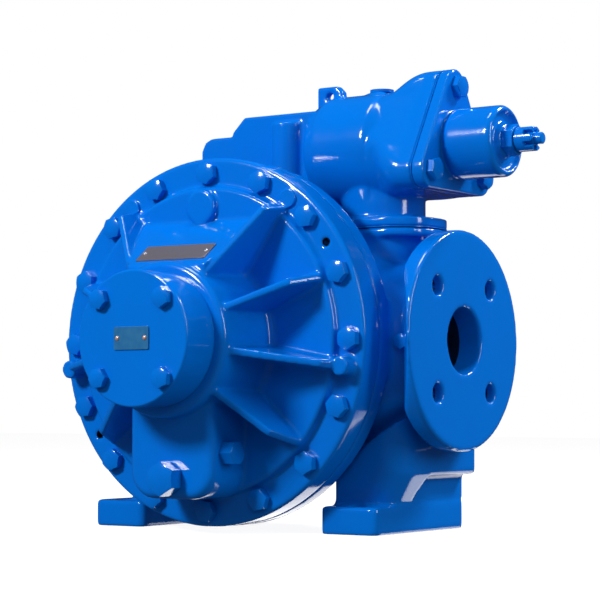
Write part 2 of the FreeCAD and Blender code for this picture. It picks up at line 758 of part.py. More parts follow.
def make_bearing_cap():
    """Deep round cap over the front bearing, with a locating spigot and four bolt holes."""
    body = new_body("bearing_cap")
    seat = f"({HUB_FACE} - Sizes.gasket_thickness)"
    cavity = f"({seat} - Sizes.cap_cavity_depth)"
    spigot = "Sizes.front_bearing_outer_diameter / 2 - Sizes.fit_clearance"
    revolve(body, "cap_casting", [
        ("0", CAP_FACE),
        ("Sizes.cap_diameter / 2", CAP_FACE),
        ("Sizes.cap_diameter / 2", seat),
        (spigot, seat),
        (spigot, f"{HUB_FACE} + Sizes.bearing_recess"),
        ("Sizes.front_bearing_outer_diameter / 2 - 6", f"{HUB_FACE} + Sizes.bearing_recess"),
        ("Sizes.front_bearing_outer_diameter / 2 - 6", cavity),
        ("0", cavity),
    ])
    face = value(CAP_FACE)
    round_edges(body, "cap_rounding", "Sizes.cap_rounding",
                lambda edge: on_circle(edge, value("Sizes.cap_diameter / 2"), face))
    holes = new_sketch(body, "cap_hole_outline", "XZ_Plane", f"-({CAP_FACE})")
    circle(holes, "Sizes.cap_bolt_circle / 2 * cos(45)", "Sizes.cap_bolt_circle / 2 * sin(45)",
           "Sizes.cap_bolt_diameter / 2 + Sizes.hole_clearance")
    hole = pocket(body, "cap_hole", holes, "Sizes.cap_length")
    ring_pattern(body, "cap_holes", [hole], "Y_Axis", "Sizes.cap_bolt_count")
    lift(body)


def make_bearing(name, bore, outside, front, width, race, offset="0"):
    """Inner and outer ring of a bearing, as two pieces.

    Args:
        name: Start of both labels.
        bore: Diameter of the seat on the shaft.
        outside: Diameter of the seat in the housing.
        front: Place of the front faces along Y.
        width: Width of both rings.
        race: Radial thickness of each ring.
        offset: Distance of the bearing's axis from the shaft axis, along X.
    """
    back = f"{front} + {width}"
    inner_bore = f"{bore} / 2 + Sizes.fit_clearance"
    outer_seat = f"{outside} / 2 - Sizes.fit_clearance"
    inner = new_body(f"{name}_inner")
    revolve(inner, "ring", [(inner_bore, front), (f"{bore} / 2 + {race}", front),
                            (f"{bore} / 2 + {race}", back), (inner_bore, back)])
    outer = new_body(f"{name}_outer")
    revolve(outer, "ring", [(f"{outside} / 2 - {race}", front), (outer_seat, front),
                            (outer_seat, back), (f"{outside} / 2 - {race}", back)])
    for ring in (inner, outer):
        lift(ring, x=offset)


def make_rollers(name, bore, outside, front, width, race, count, offset="0"):
    """Ring of cylindrical rollers between the two races of a bearing."""
    body = new_body(name)
    sketch = new_sketch(body, "roller_outline", "XZ_Plane", f"-({front} + 2)")
    circle(sketch, f"({bore} + {outside}) / 4", "0",
           f"({outside} - {bore}) / 4 - {race} - Sizes.roller_gap")
    roller = pad(body, "roller", sketch, f"{width} - 4", reverse=True)
    ring_pattern(body, "rollers", [roller], "Y_Axis", count)
    lift(body, x=offset)


def make_balls(name, bore, outside, middle, race, count):
    """Ring of balls between the two races of a bearing."""
    body = new_body(name)
    ball = body.newObject("PartDesign::AdditiveSphere", "ball")
    ball.AttachmentSupport = [(origin_feature(body, "XY_Plane"), "")]
    ball.MapMode = "FlatFace"
    ball.setExpression("Radius", f"({outside} - {bore}) / 4 - {race} - Sizes.roller_gap")
    ball.setExpression("AttachmentOffset.Base.x", f"({bore} + {outside}) / 4")
    ball.setExpression("AttachmentOffset.Base.y", middle)
    doc.recompute()
    ring_pattern(body, "balls", [ball], "Y_Axis", count)
    lift(body)


# Casing: drum, ports, feet, valve seats and rear hub in one casting
def make_pump_body():
    """Casing that carries the cover, the cylinder, the rear bearing and the relief valve."""
    body = new_body("pump_body")
    rim = RIM
    drum = DRUM
    rear = "Sizes.drum_rear"
    hub = "Sizes.rear_hub_diameter / 2"
    base, shoulder = f"{FLOOR} + Sizes.foot_thickness - 2", f"{FLOOR} + Sizes.column_shoulder_height"
    top = f"{FLOOR} + Sizes.column_top_height"
    web_front, web_back = "Sizes.column_front", "(Sizes.column_front - Sizes.column_web_thickness)"
    for side, sign, toe, outer in (("right", "", "Sizes.column_base", "Sizes.column_shoulder"),
                                   ("left", "-", "(Sizes.left_column_outer - 4)", "Sizes.left_column_outer")):
        inner = f"{sign}Sizes.column_inner"
        web_foot = f"{FLOOR} + Sizes.column_web_height"
        web_rise = f"(({outer} - Sizes.column_inner) * tan(Sizes.column_web_slope))"
        web = new_sketch(body, f"{side}_web_outline", "XZ_Plane", web_front)
        polygon(web, [(inner, base), (f"{sign}{toe}", base), (f"{sign}{outer}", shoulder),
                      (f"{sign}{outer}", f"{web_foot} + {web_rise}"), (inner, web_foot)])
        pad(body, f"{side}_web", web, "Sizes.column_web_thickness", reverse=True)
        face, edge_side = -value(web_front), value(toe) - 1
        round_edges(body, f"{side}_web_rounding", "Sizes.column_corner", lambda edge: all(
            abs(vertex.Y - face) < 0.01 and abs(vertex.X) > edge_side
            and (vertex.X > 0) == (side == "right") for vertex in edge.Vertexes))
        block = new_sketch(body, f"{side}_column_outline", "XZ_Plane", web_back)
        polygon(block, [(inner, base), (f"{sign}{toe}", base), (f"{sign}{outer}", shoulder),
                        (f"{sign}{outer}", top), (f"{sign}Sizes.column_top_inner", top), (inner, shoulder)])
        pad(body, f"{side}_column", block, f"{web_back} + Sizes.column_rear", reverse=True)

    for side, near, far in (("right", "Sizes.foot_inner", "Sizes.foot_outer"),
                            ("left", "-Sizes.foot_outer", "-Sizes.foot_inner")):
        pads = new_sketch(body, f"{side}_foot_outline", "XY_Plane", FLOOR)
        rounded_box(pads, near, far, "-Sizes.foot_half_length", "Sizes.foot_half_length", "Sizes.foot_corner")
        pad(body, f"{side}_foot", pads, "Sizes.foot_thickness")

    revolve(body, "drum", [("0", JOINT), (rim, JOINT), (rim, FLANGE_BACK), (drum, FLANGE_BACK),
                           (drum, f"{rear} - Sizes.drum_chamfer"), (f"{drum} - Sizes.drum_chamfer", rear),
                           (hub, rear), (hub, "Sizes.rear_hub_end"), ("0", "Sizes.rear_hub_end")])
    back, rim_radius, drum_radius = value(FLANGE_BACK), value(rim), value(drum)
    round_edges(body, "rim_rounding", "Sizes.body_rim_rounding",
                lambda edge: on_circle(edge, rim_radius, back))
    round_edges(body, "drum_rounding", "Sizes.drum_root_rounding",
                lambda edge: on_circle(edge, drum_radius, back))
    round_edges(body, "hub_rounding", "Sizes.rear_hub_rounding",
                lambda edge: on_circle(edge, value(hub), value(rear)))

    root, end = "Sizes.neck_root_diameter / 2", "Sizes.neck_end_diameter / 2"
    flange = "Sizes.port_flange_diameter / 2"
    for side, sign, face in (("right", "", PORT_FACE), ("left", "-", LEFT_PORT_FACE)):
        neck_end = f"{face} - Sizes.neck_end_gap"
        flange_back = f"{face} - Sizes.port_flange_thickness"
        revolve(body, f"{side}_port", [
            (f"{sign}60", "0"), (f"{sign}60", root), (f"{sign}({neck_end} - Sizes.neck_length)", root),
            (f"{sign}({neck_end})", end), (f"{sign}({flange_back})", f"{end} + 4"),
            (f"{sign}({flange_back})", f"{flange} - 1"), (f"{sign}({flange_back} + 1)", flange),
            (f"{sign}({face} - 1)", flange), (f"{sign}{face}", f"{flange} - 1"), (f"{sign}{face}", "0"),
        ], axis="H_Axis")

    neck_column = new_sketch(body, "neck_column_outline", "XY_Plane", "Sizes.port_bore_diameter / 2")
    circle(neck_column, "Sizes.neck_centre", "0", "Sizes.right_pad_half_width")
    pad(body, "neck_column", neck_column, f"{RIGHT_PAD} - 5 - Sizes.port_bore_diameter / 2")
    neck_seat = new_sketch(body, "neck_seat_outline", "XY_Plane", f"{RIGHT_PAD} - Sizes.right_pad_flange")
    rounded_box(neck_seat, *NECK_OUTLINE)
    pad(body, "neck_seat", neck_seat, "Sizes.right_pad_flange")
    left_seat = new_sketch(body, "left_valve_seat_outline", "XY_Plane", "60")
    rounded_box(left_seat, "-Sizes.left_pad_outer", "Sizes.left_pad_inner", "-Sizes.left_pad_half_width",
                "Sizes.left_pad_half_width", "Sizes.left_pad_corner")
    pad(body, "left_valve_seat", left_seat, f"{LEFT_PAD} - 60")
    near, far, front_side, rear_side, corner = NECK_OUTLINE
    seat_room = new_sketch(body, "neck_seat_room_outline", "XY_Plane", RIGHT_PAD)
    rounded_box(seat_room, f"({near} - 1)", f"({far} + 1)", f"({front_side} - 1)", f"({rear_side} + 1)",
                corner)
    pocket(body, "neck_seat_room", seat_room, "Sizes.drum_wall", reverse=True)

    chamber, seat_radius = CHAMBER, "Sizes.rear_chamber_diameter / 2"
    bearing = "Sizes.rear_bearing_outer_diameter / 2"
    bearing_front = "(Sizes.rear_hub_end - Sizes.rear_bearing_recess - Sizes.rear_bearing_width)"
    revolve(body, "chamber", [
        ("0", f"{JOINT} - 1"), (chamber, f"{JOINT} - 1"), (chamber, "Sizes.chamber_seat"),
        (seat_radius, "Sizes.chamber_seat"), (seat_radius, "Sizes.rear_wall"),
        (f"{bearing} - Sizes.thick_race", "Sizes.rear_wall"),
        (f"{bearing} - Sizes.thick_race", bearing_front),
        (bearing, bearing_front), (bearing, "Sizes.rear_hub_end + 1"), ("0", "Sizes.rear_hub_end + 1"),
    ], cut=True)
    in_front = new_sketch(body, "cover_room_outline", "XY_Plane", "0")
    room_right = f"({PORT_FACE} - Sizes.port_flange_thickness - 6)"
    room_left = f"-({LEFT_PORT_FACE} + 1)"
    polygon(in_front, [(room_left, f"-2 * {RIM}"), (room_right, f"-2 * {RIM}"), (room_right, JOINT),
                       (room_left, JOINT)])
    pocket(body, "cover_room", in_front, f"2 * {RIM}", symmetric=True)
    bore = "Sizes.port_bore_diameter / 2"
    revolve(body, "port_bores", [(f"-{LEFT_PORT_FACE} - 1", "0"), (f"{PORT_FACE} + 1", "0"),
                                 (f"{PORT_FACE} + 1", bore), (f"-{LEFT_PORT_FACE} - 1", bore)],
            axis="H_Axis", cut=True)
    relief = new_sketch(body, "rim_relief_outline", "XY_Plane", "0")
    relief_back = f"{PORT_FACE} - Sizes.port_flange_thickness"
    polygon(relief, [(f"{relief_back} - 8", f"-{flange} - 1"), (f"{PORT_FACE} - 0.5", f"-{flange} - 1"),
                     (relief_back, "-Sizes.port_relief_reach"),
                     (f"{relief_back} - 8", "-Sizes.port_relief_reach")])
    pocket(body, "rim_relief", relief, "Sizes.port_flange_diameter", symmetric=True)
    for side, sign, face in (("right", "", PORT_FACE), ("left", "-", LEFT_PORT_FACE)):
        holes = new_sketch(body, f"{side}_port_hole_outline", "YZ_Plane", f"{sign}{face}")
        for angle in (45, 135, 225, 315):
            circle(holes, f"Sizes.port_bolt_circle / 2 * cos({angle})",
                   f"Sizes.port_bolt_circle / 2 * sin({angle})", "Sizes.port_hole_diameter / 2")
        pocket(body, f"{side}_port_holes", holes, "Sizes.port_hole_depth", reverse=side == "left")
    ledge = f"{FLOOR} + Sizes.foot_thickness"
    behind = "(Sizes.column_rear + 5)"
    recess = new_sketch(body, "recess_outline", "YZ_Plane", "Sizes.column_shoulder + 5")
    polygon(recess, [("Sizes.recess_front - 7", ledge), (behind, ledge),
                     (behind, f"{ledge} + Sizes.recess_height"),
                     ("Sizes.recess_front + 7", f"{ledge} + Sizes.recess_height")])
    pocket(body, "recess", recess, "Sizes.column_shoulder + 5 - Sizes.recess_wall")
    for side, sign in (("right", ""), ("left", "-")):
        room = new_sketch(body, f"{side}_bolt_pocket_outline", "XZ_Plane", "-Sizes.bolt_pocket_front")
        middle, half = f"{sign}Sizes.foot_hole_spacing_x / 2", "Sizes.bolt_pocket_width / 2"
        polygon(room, [(f"{middle} - {half}", ledge), (f"{middle} + {half}", ledge),
                       (f"{middle} + {half}", f"{ledge} + Sizes.recess_height"),
                       (f"{middle} - {half}", f"{ledge} + Sizes.recess_height")])
        pocket(body, f"{side}_bolt_pocket", room, f"{behind} - Sizes.bolt_pocket_front")

    foot_holes = new_sketch(body, "foot_hole_outline", "XY_Plane", f"{FLOOR} + Sizes.foot_thickness")
    for u in ("-", ""):
        for v in ("-", ""):
            circle(foot_holes, f"{u}Sizes.foot_hole_spacing_x / 2", f"{v}Sizes.foot_hole_spacing_y / 2",
                   "Sizes.foot_hole_diameter / 2")
    pocket(body, "foot_holes", foot_holes, "Sizes.foot_thickness")

    flange_hole = new_sketch(body, "flange_hole_outline", "XZ_Plane", f"-({JOINT})")
    circle(flange_hole, BOLT_REACH, "0",
           "Sizes.cover_bolt_diameter / 2 + Sizes.fit_clearance")
    hole = pocket(body, "flange_hole", flange_hole, "Sizes.body_flange_thickness")
    ring_pattern(body, "flange_holes", [hole], "Y_Axis", "Sizes.cover_bolt_count")
    screw_hole = new_sketch(body, "cylinder_screw_hole_outline", "XZ_Plane", "-Sizes.chamber_seat")
    circle(screw_hole, SCREW_REACH, "0",
           "Sizes.cylinder_screw_diameter / 2 + Sizes.fit_clearance")
    screw = pocket(body, "cylinder_screw_hole", screw_hole, "Sizes.short_thread + Sizes.thread_relief")
    ring_pattern(body, "cylinder_screw_holes", [screw], "Y_Axis", "Sizes.cylinder_screw_count")
    rear_hole = new_sketch(body, "rear_bolt_hole_outline", "XZ_Plane", "-Sizes.rear_hub_end")
    circle(rear_hole, "0", "Sizes.rear_cap_bolt_circle / 2",
           "Sizes.rear_bolt_diameter / 2 + Sizes.fit_clearance")
    rear_cut = pocket(body, "rear_bolt_hole", rear_hole, "Sizes.short_thread + Sizes.thread_relief",
                      reverse=True)
    ring_pattern(body, "rear_bolt_holes", [rear_cut], "Y_Axis", "Sizes.rear_cap_bolt_count")

    passages = new_sketch(body, "right_passage_outline", "XY_Plane", RIGHT_PAD)
    circle(passages, "Sizes.neck_centre", "0", "Sizes.valve_passage_diameter / 2")
    pocket(body, "right_passage", passages, RIGHT_PAD)
    left = new_sketch(body, "left_passage_outline", "XY_Plane", LEFT_PAD)
    circle(left, "-Sizes.left_passage_centre", "0", "Sizes.left_passage_diameter / 2")
    pocket(body, "left_passage", left, f"{LEFT_PAD} - 80")
    screw_holes = new_sketch(body, "neck_screw_hole_outline", "XY_Plane", RIGHT_PAD)
    for u, v in NECK_SCREWS:
        circle(screw_holes, u, v, "Sizes.neck_screw_diameter / 2 + Sizes.fit_clearance")
    pocket(body, "neck_screw_holes", screw_holes, "Sizes.right_pad_flange")
    bolt_holes = new_sketch(body, "base_bolt_hole_outline", "XY_Plane", LEFT_PAD)
    for u, v in LEFT_BOLTS:
        circle(bolt_holes, u, v, "Sizes.valve_bolt_diameter / 2 + Sizes.fit_clearance")
    pocket(body, "base_bolt_holes", bolt_holes, "Sizes.long_thread + Sizes.thread_relief")
    webs = new_sketch(body, "web_outline", "XZ_Plane", "-(Sizes.chamber_seat - Sizes.lip_thickness)")
    for side, inner, outer in (("top", f"{CYLINDER} + 0.2", f"{DRUM} - 4"),
                               ("bottom", f"-({DRUM} - 4)", f"-({CYLINDER} + 0.2)")):
        half = "Sizes.web_thickness / 2"
        polygon(webs, [(f"-{half}", inner), (half, inner), (half, outer), (f"-{half}", outer)])
    pad(body, "webs", webs, "Sizes.chamber_seat - Sizes.lip_thickness + Sizes.cylinder_front")
    lift(body)


# Cylinder, partition and disc, which make the pumping chambers
def make_cylinder():
    """Fixed ring-shaped channel with a hub, a floor, an outer wall, two windows and a mounting lip."""
    body = new_body("cylinder")
    bore = f"{REAR_JOURNAL} + Sizes.bush_thickness"
    hub, channel = CHANNEL_HUB, CHANNEL
    wall, lip = CYLINDER, f"{CHAMBER} - Sizes.fit_clearance"
    lip_front = "Sizes.chamber_seat - Sizes.lip_thickness"
    revolve(body, "channel", [
        (bore, CYLINDER_FRONT), (hub, CYLINDER_FRONT), (hub, "Sizes.channel_floor"),
        (channel, "Sizes.channel_floor"), (channel, CYLINDER_FRONT), (wall, CYLINDER_FRONT),
        (wall, lip_front), (lip, lip_front), (lip, "Sizes.chamber_seat"), (bore, "Sizes.chamber_seat"),
    ])
    groove = new_sketch(body, "partition_groove_outline", "XZ_Plane", "Sizes.cylinder_front")
    half = "(Sizes.partition_thickness / 2 + Sizes.fit_clearance)"
    polygon(groove, [(f"-{half}", PARTITION_INNER), (half, PARTITION_INNER),
                     (half, PARTITION_OUTER), (f"-{half}", PARTITION_OUTER)])
    pocket(body, "partition_groove", groove, "Sizes.cylinder_front + Sizes.channel_floor")
    for side, sign in (("right", ""), ("left", "-")):
        window = new_sketch(body, f"{side}_window_outline", "YZ_Plane", f"{sign}{wall}")
        rounded_box(window, "-Sizes.window_half_length", "Sizes.window_half_length - 6", "Sizes.window_low",
                    "Sizes.window_high", "6")
        pocket(body, f"{side}_window", window, f"{wall} - {CHANNEL_HUB} + 10", reverse=side == "left")
    screws = new_sketch(body, "screw_hole_outline", "XZ_Plane", f"-({lip_front})")
    circle(screws, SCREW_REACH, "0",
           "Sizes.cylinder_screw_diameter / 2 + Sizes.hole_clearance")
    hole = pocket(body, "screw_hole", screws, "Sizes.lip_thickness")
    ring_pattern(body, "screw_holes", [hole], "Y_Axis", "Sizes.cylinder_screw_count")
    lift(body)


def make_partition():
    """Flat plate that closes the channel between its inlet and its outlet."""
    body = new_body("partition")
    sketch = new_sketch(body, "plate_outline", "XZ_Plane", "Sizes.cylinder_front")
    inner = f"{PARTITION_INNER} + Sizes.fit_clearance"
    outer = f"{PARTITION_OUTER} - Sizes.fit_clearance"
    half = "Sizes.partition_thickness / 2"
    polygon(sketch, [(f"-{half}", inner), (half, inner), (half, outer), (f"-{half}", outer)])
    pad(body, "plate", sketch, "Sizes.cylinder_front + Sizes.channel_floor", reverse=True)
    lift(body)


def make_disc():
    """Disc whose ring orbits in the channel, with the hub that holds the eccentric bearing."""
    body = new_body("piston_disc")
    shift = "(Sizes.eccentricity + Sizes.running_clearance)"
    ring_outer = f"{CHANNEL} - {shift}"
    ring_inner = f"{CHANNEL_HUB} + {shift}"
    through, hub = "Sizes.disc_through_diameter / 2", "Sizes.disc_hub_diameter / 2"
    bearing = "Sizes.eccentric_bearing_outer_diameter / 2"
    tip = "Sizes.channel_floor - Sizes.running_clearance"
    seat_back = f"{ECCENTRIC_FRONT} + Sizes.eccentric_bearing_width"
    revolve(body, "disc", [
        (through, DISC_BACK), (ring_inner, DISC_BACK), (ring_inner, tip), (ring_outer, tip),
        (ring_outer, DISC_BACK), (DISC, DISC_BACK), (DISC, DISC_FACE),
        (hub, DISC_FACE), (hub, DISC_HUB_END), (bearing, DISC_HUB_END), (bearing, seat_back),
        (f"{bearing} - Sizes.race_thickness", seat_back),
        (f"{bearing} - Sizes.race_thickness", f"{DISC_FACE} + 2"),
        (through, f"{DISC_FACE} + 2"),
    ])
    disc_face, hub_radius = value(DISC_FACE), value(hub)
    round_edges(body, "hub_root_rounding", "Sizes.disc_hub_rounding",
                lambda edge: on_circle(edge, hub_radius, disc_face))
    slot = new_sketch(body, "slot_outline", "XZ_Plane", f"-({DISC_BACK})")
    half = "(Sizes.partition_thickness / 2 + Sizes.eccentricity + Sizes.slot_clearance)"
    polygon(slot, [(f"-{half}", f"{CHANNEL_HUB} - 8"), (half, f"{CHANNEL_HUB} - 8"),
                   (half, f"{CHANNEL} + 8"), (f"-{half}", f"{CHANNEL} + 8")])
    pocket(body, "slot", slot, f"Sizes.channel_floor - ({DISC_BACK})")
    lift(body, x="Sizes.eccentricity")


# Shaft and what turns with it
def make_shaft():
    """Drive shaft with front thread, collar, eccentric, rear journal, drive end and keyway."""
    body = new_body("drive_shaft")
    front, middle = "Sizes.front_journal_diameter / 2", "Sizes.shaft_collar_diameter / 2"
    ring_seat = "(Sizes.rear_hub_end - Sizes.rear_bearing_recess)"
    rear_front = f"({ring_seat} - Sizes.rear_bearing_width)"
    seal = "(Sizes.rear_journal_diameter / 2 - 2)"
    drive = "Sizes.drive_diameter / 2"
    drive_start = "(Sizes.shaft_end - Sizes.drive_length)"
    thread = "Sizes.front_thread_diameter / 2"
    bearing_front = f"({HUB_FACE} + Sizes.bearing_recess)"
    revolve(body, "shaft", [
        ("0", f"{bearing_front} - Sizes.front_nut_thickness - 4"),
        (f"{thread} - 1", f"{bearing_front} - Sizes.front_nut_thickness - 4"),
        (thread, f"{bearing_front} - Sizes.front_nut_thickness - 3"), (thread, bearing_front),
        (front, bearing_front), (front, BEARING_BACK), (middle, BEARING_BACK),
        (middle, f"{ECCENTRIC_FRONT} - 4"), (REAR_JOURNAL, f"{ECCENTRIC_FRONT} - 4"),
        (REAR_JOURNAL, f"{rear_front} - 8"), (f"{REAR_JOURNAL} + 4.5", f"{rear_front} - 8"),
        (f"{REAR_JOURNAL} + 4.5", rear_front), (REAR_JOURNAL, rear_front),
        (REAR_JOURNAL, f"{ring_seat} + Sizes.retaining_ring_thickness"),
        (seal, f"{ring_seat} + Sizes.retaining_ring_thickness"), (seal, drive_start), (drive, drive_start),
        (drive, "Sizes.shaft_end - 2"), (f"{drive} - 2", "Sizes.shaft_end"), ("0", "Sizes.shaft_end"),
    ])
    journal = new_sketch(body, "eccentric_outline", "XZ_Plane", f"-({ECCENTRIC_FRONT} - 6)")
    circle(journal, "Sizes.eccentricity", "0", "Sizes.eccentric_diameter / 2")
    pad(body, "eccentric", journal,
        "Sizes.eccentric_bearing_width + Sizes.retaining_ring_thickness + 6", reverse=True)
    shoulder = new_sketch(body, "shoulder_outline", "XZ_Plane", f"-({ECCENTRIC_FRONT} - 6)")
    circle(shoulder, "Sizes.eccentricity", "0", "Sizes.eccentric_shoulder_diameter / 2")
    pad(body, "shoulder", shoulder, "6", reverse=True)
    keyway = new_sketch(body, "keyway_outline", "XY_Plane")
    turn = Rotation(Vector(0, 1, 0), value("90 - Sizes.key_angle"))
    keyway.AttachmentOffset = Placement(Vector(0, 0, 0), turn)
    keyway.setExpression("AttachmentOffset.Base.x", f"{drive} * cos(Sizes.key_angle)")
    keyway.setExpression("AttachmentOffset.Base.z", f"{drive} * sin(Sizes.key_angle)")
    keyway.setExpression("AttachmentOffset.Rotation.Angle", "90 - Sizes.key_angle")
    end = "Sizes.shaft_end - 6"
    rounded_box(keyway, "-Sizes.key_width / 2", "Sizes.key_width / 2", f"({end} - Sizes.key_length)",
                f"({end})", "(Sizes.key_width / 2 - 0.05)")
    pocket(body, "keyway", keyway, "Sizes.key_depth")
    lift(body)


def make_retaining_ring(name, diameter, front, offset="0"):
    """Plain ring that keeps a bearing on its journal."""
    body = new_body(name)
    inner = f"{diameter} / 2 + Sizes.fit_clearance"
    outer = f"{diameter} / 2 + Sizes.retaining_ring_height"
    back = f"{front} + Sizes.retaining_ring_thickness"
    revolve(body, "ring", [(inner, front), (outer, front), (outer, back), (inner, back)])
    lift(body, x=offset)


def make_front_nut():
    """Round shaft nut with four spanner slots, inside the bearing cap."""
    body = new_body("front_shaft_nut")
    inner, outer = "Sizes.front_thread_diameter / 2 + Sizes.fit_clearance", "Sizes.front_nut_diameter / 2"
    back = f"({HUB_FACE} + Sizes.bearing_recess)"
    front = f"({back} - Sizes.front_nut_thickness)"
    revolve(body, "nut", [(inner, front), (outer, front), (outer, back), (inner, back)])
    slot = new_sketch(body, "slot_outline", "XZ_Plane", f"-{front}")
    half = "Sizes.nut_slot / 2"
    polygon(slot, [(f"-{half}", f"{outer} - 3"), (half, f"{outer} - 3"), (half, f"{outer} + 1"),
                   (f"-{half}", f"{outer} + 1")])
    cut = pocket(body, "slot", slot, "Sizes.front_nut_thickness")
    ring_pattern(body, "slots", [cut], "Y_Axis", "4")
    lift(body)


def make_plain_ring(name, inner, outer, front, back):
    """Ring of rectangular section about the shaft, for seals, bushes and gaskets."""
    body = new_body(name)
    revolve(body, "ring", [(inner, front), (outer, front), (outer, back), (inner, back)])
    lift(body)
    return body


def make_oring():
    """Sealing ring in the groove on the back of the cover's flange."""
    body = new_body("cover_oring")
    sketch = new_sketch(body, "section", "XY_Plane")
    radius = "(Sizes.oring_section / 2 - Sizes.fit_clearance)"
    circle(sketch, ORING, f"{JOINT} - Sizes.oring_section / 2", radius)
    ring = body.newObject("PartDesign::Revolution", "ring")
    ring.Profile = sketch
    ring.ReferenceAxis = (sketch, ["V_Axis"])
    ring.Angle = 360
    doc.recompute()
    lift(body)


def make_rear_cap():
    """Rear bearing cap with its spigot and the seat of the shaft seal."""
    body = new_body("rear_bearing_cap")
    spigot = "Sizes.rear_bearing_outer_diameter / 2 - Sizes.fit_clearance"
    spigot_bore = "Sizes.rear_bearing_outer_diameter / 2 - Sizes.thick_race"
    seat = "Sizes.rear_hub_end"
    outside = "Sizes.rear_cap_diameter / 2"
    back = f"({seat} + Sizes.rear_cap_thickness)"
    seal = "Sizes.seal_diameter / 2"
    revolve(body, "cap", [
        (spigot_bore, f"{seat} - Sizes.rear_bearing_recess"), (spigot, f"{seat} - Sizes.rear_bearing_recess"),
        (spigot, seat), (outside, seat), (outside, f"{back} - 1"), (f"{outside} - 1", back), (seal, back),
        (seal, f"{back} - Sizes.seal_width"), (f"{seal} - 4", f"{back} - Sizes.seal_width"),
        (f"{seal} - 4", seat), (spigot_bore, seat),
    ])
    holes = new_sketch(body, "hole_outline", "XZ_Plane", f"-{back}")
    circle(holes, "0", "Sizes.rear_cap_bolt_circle / 2",
           "Sizes.rear_bolt_diameter / 2 + Sizes.hole_clearance")
    hole = pocket(body, "hole", holes, "Sizes.rear_cap_thickness", reverse=True)
    ring_pattern(body, "holes", [hole], "Y_Axis", "Sizes.rear_cap_bolt_count")
    lift(body)


# Small pieces on the cover
def make_plate(name, length, width, place, tilt):
    """Thin rectangular plate with round corners, tilted about X.

    Args:
        name: Label of the plate.
        length: Size along X.
        width: Size across.
        place: Pair of expressions for Y and for the height above the shaft.
        tilt: Angle about X, in degrees.
    """
    body = new_body(name)
    body.Placement = Placement(Vector(0, 0, 0), Rotation(Vector(1, 0, 0), value(tilt)))
    sketch = new_sketch(body, "plate_outline", "XY_Plane")
    rounded_box(sketch, f"-{length} / 2", f"{length} / 2", f"-{width} / 2", f"{width} / 2", "1.5")
    pad(body, "plate", sketch, "Sizes.plate_thickness")
    lift(body, y=place[0], z=f"{SHAFT_HEIGHT} + {place[1]}")
    body.setExpression("Placement.Rotation.Angle", tilt)


def make_plug(name, plane, seat, u, v, flats, length, diameter):
    """Hexagon plug with its thread in a boss."""
    body = new_body(name)
    head = new_sketch(body, "head_outline", plane, seat)
    hexagon(head, u, v, flats)
    pad(body, "head", head, length)
    shank = new_sketch(body, "shank_outline", plane, seat)
    circle(shank, u, v, f"{diameter} / 2")
    pad(body, "shank", shank, f"{length} - Sizes.fit_clearance", reverse=True)
    lift(body)


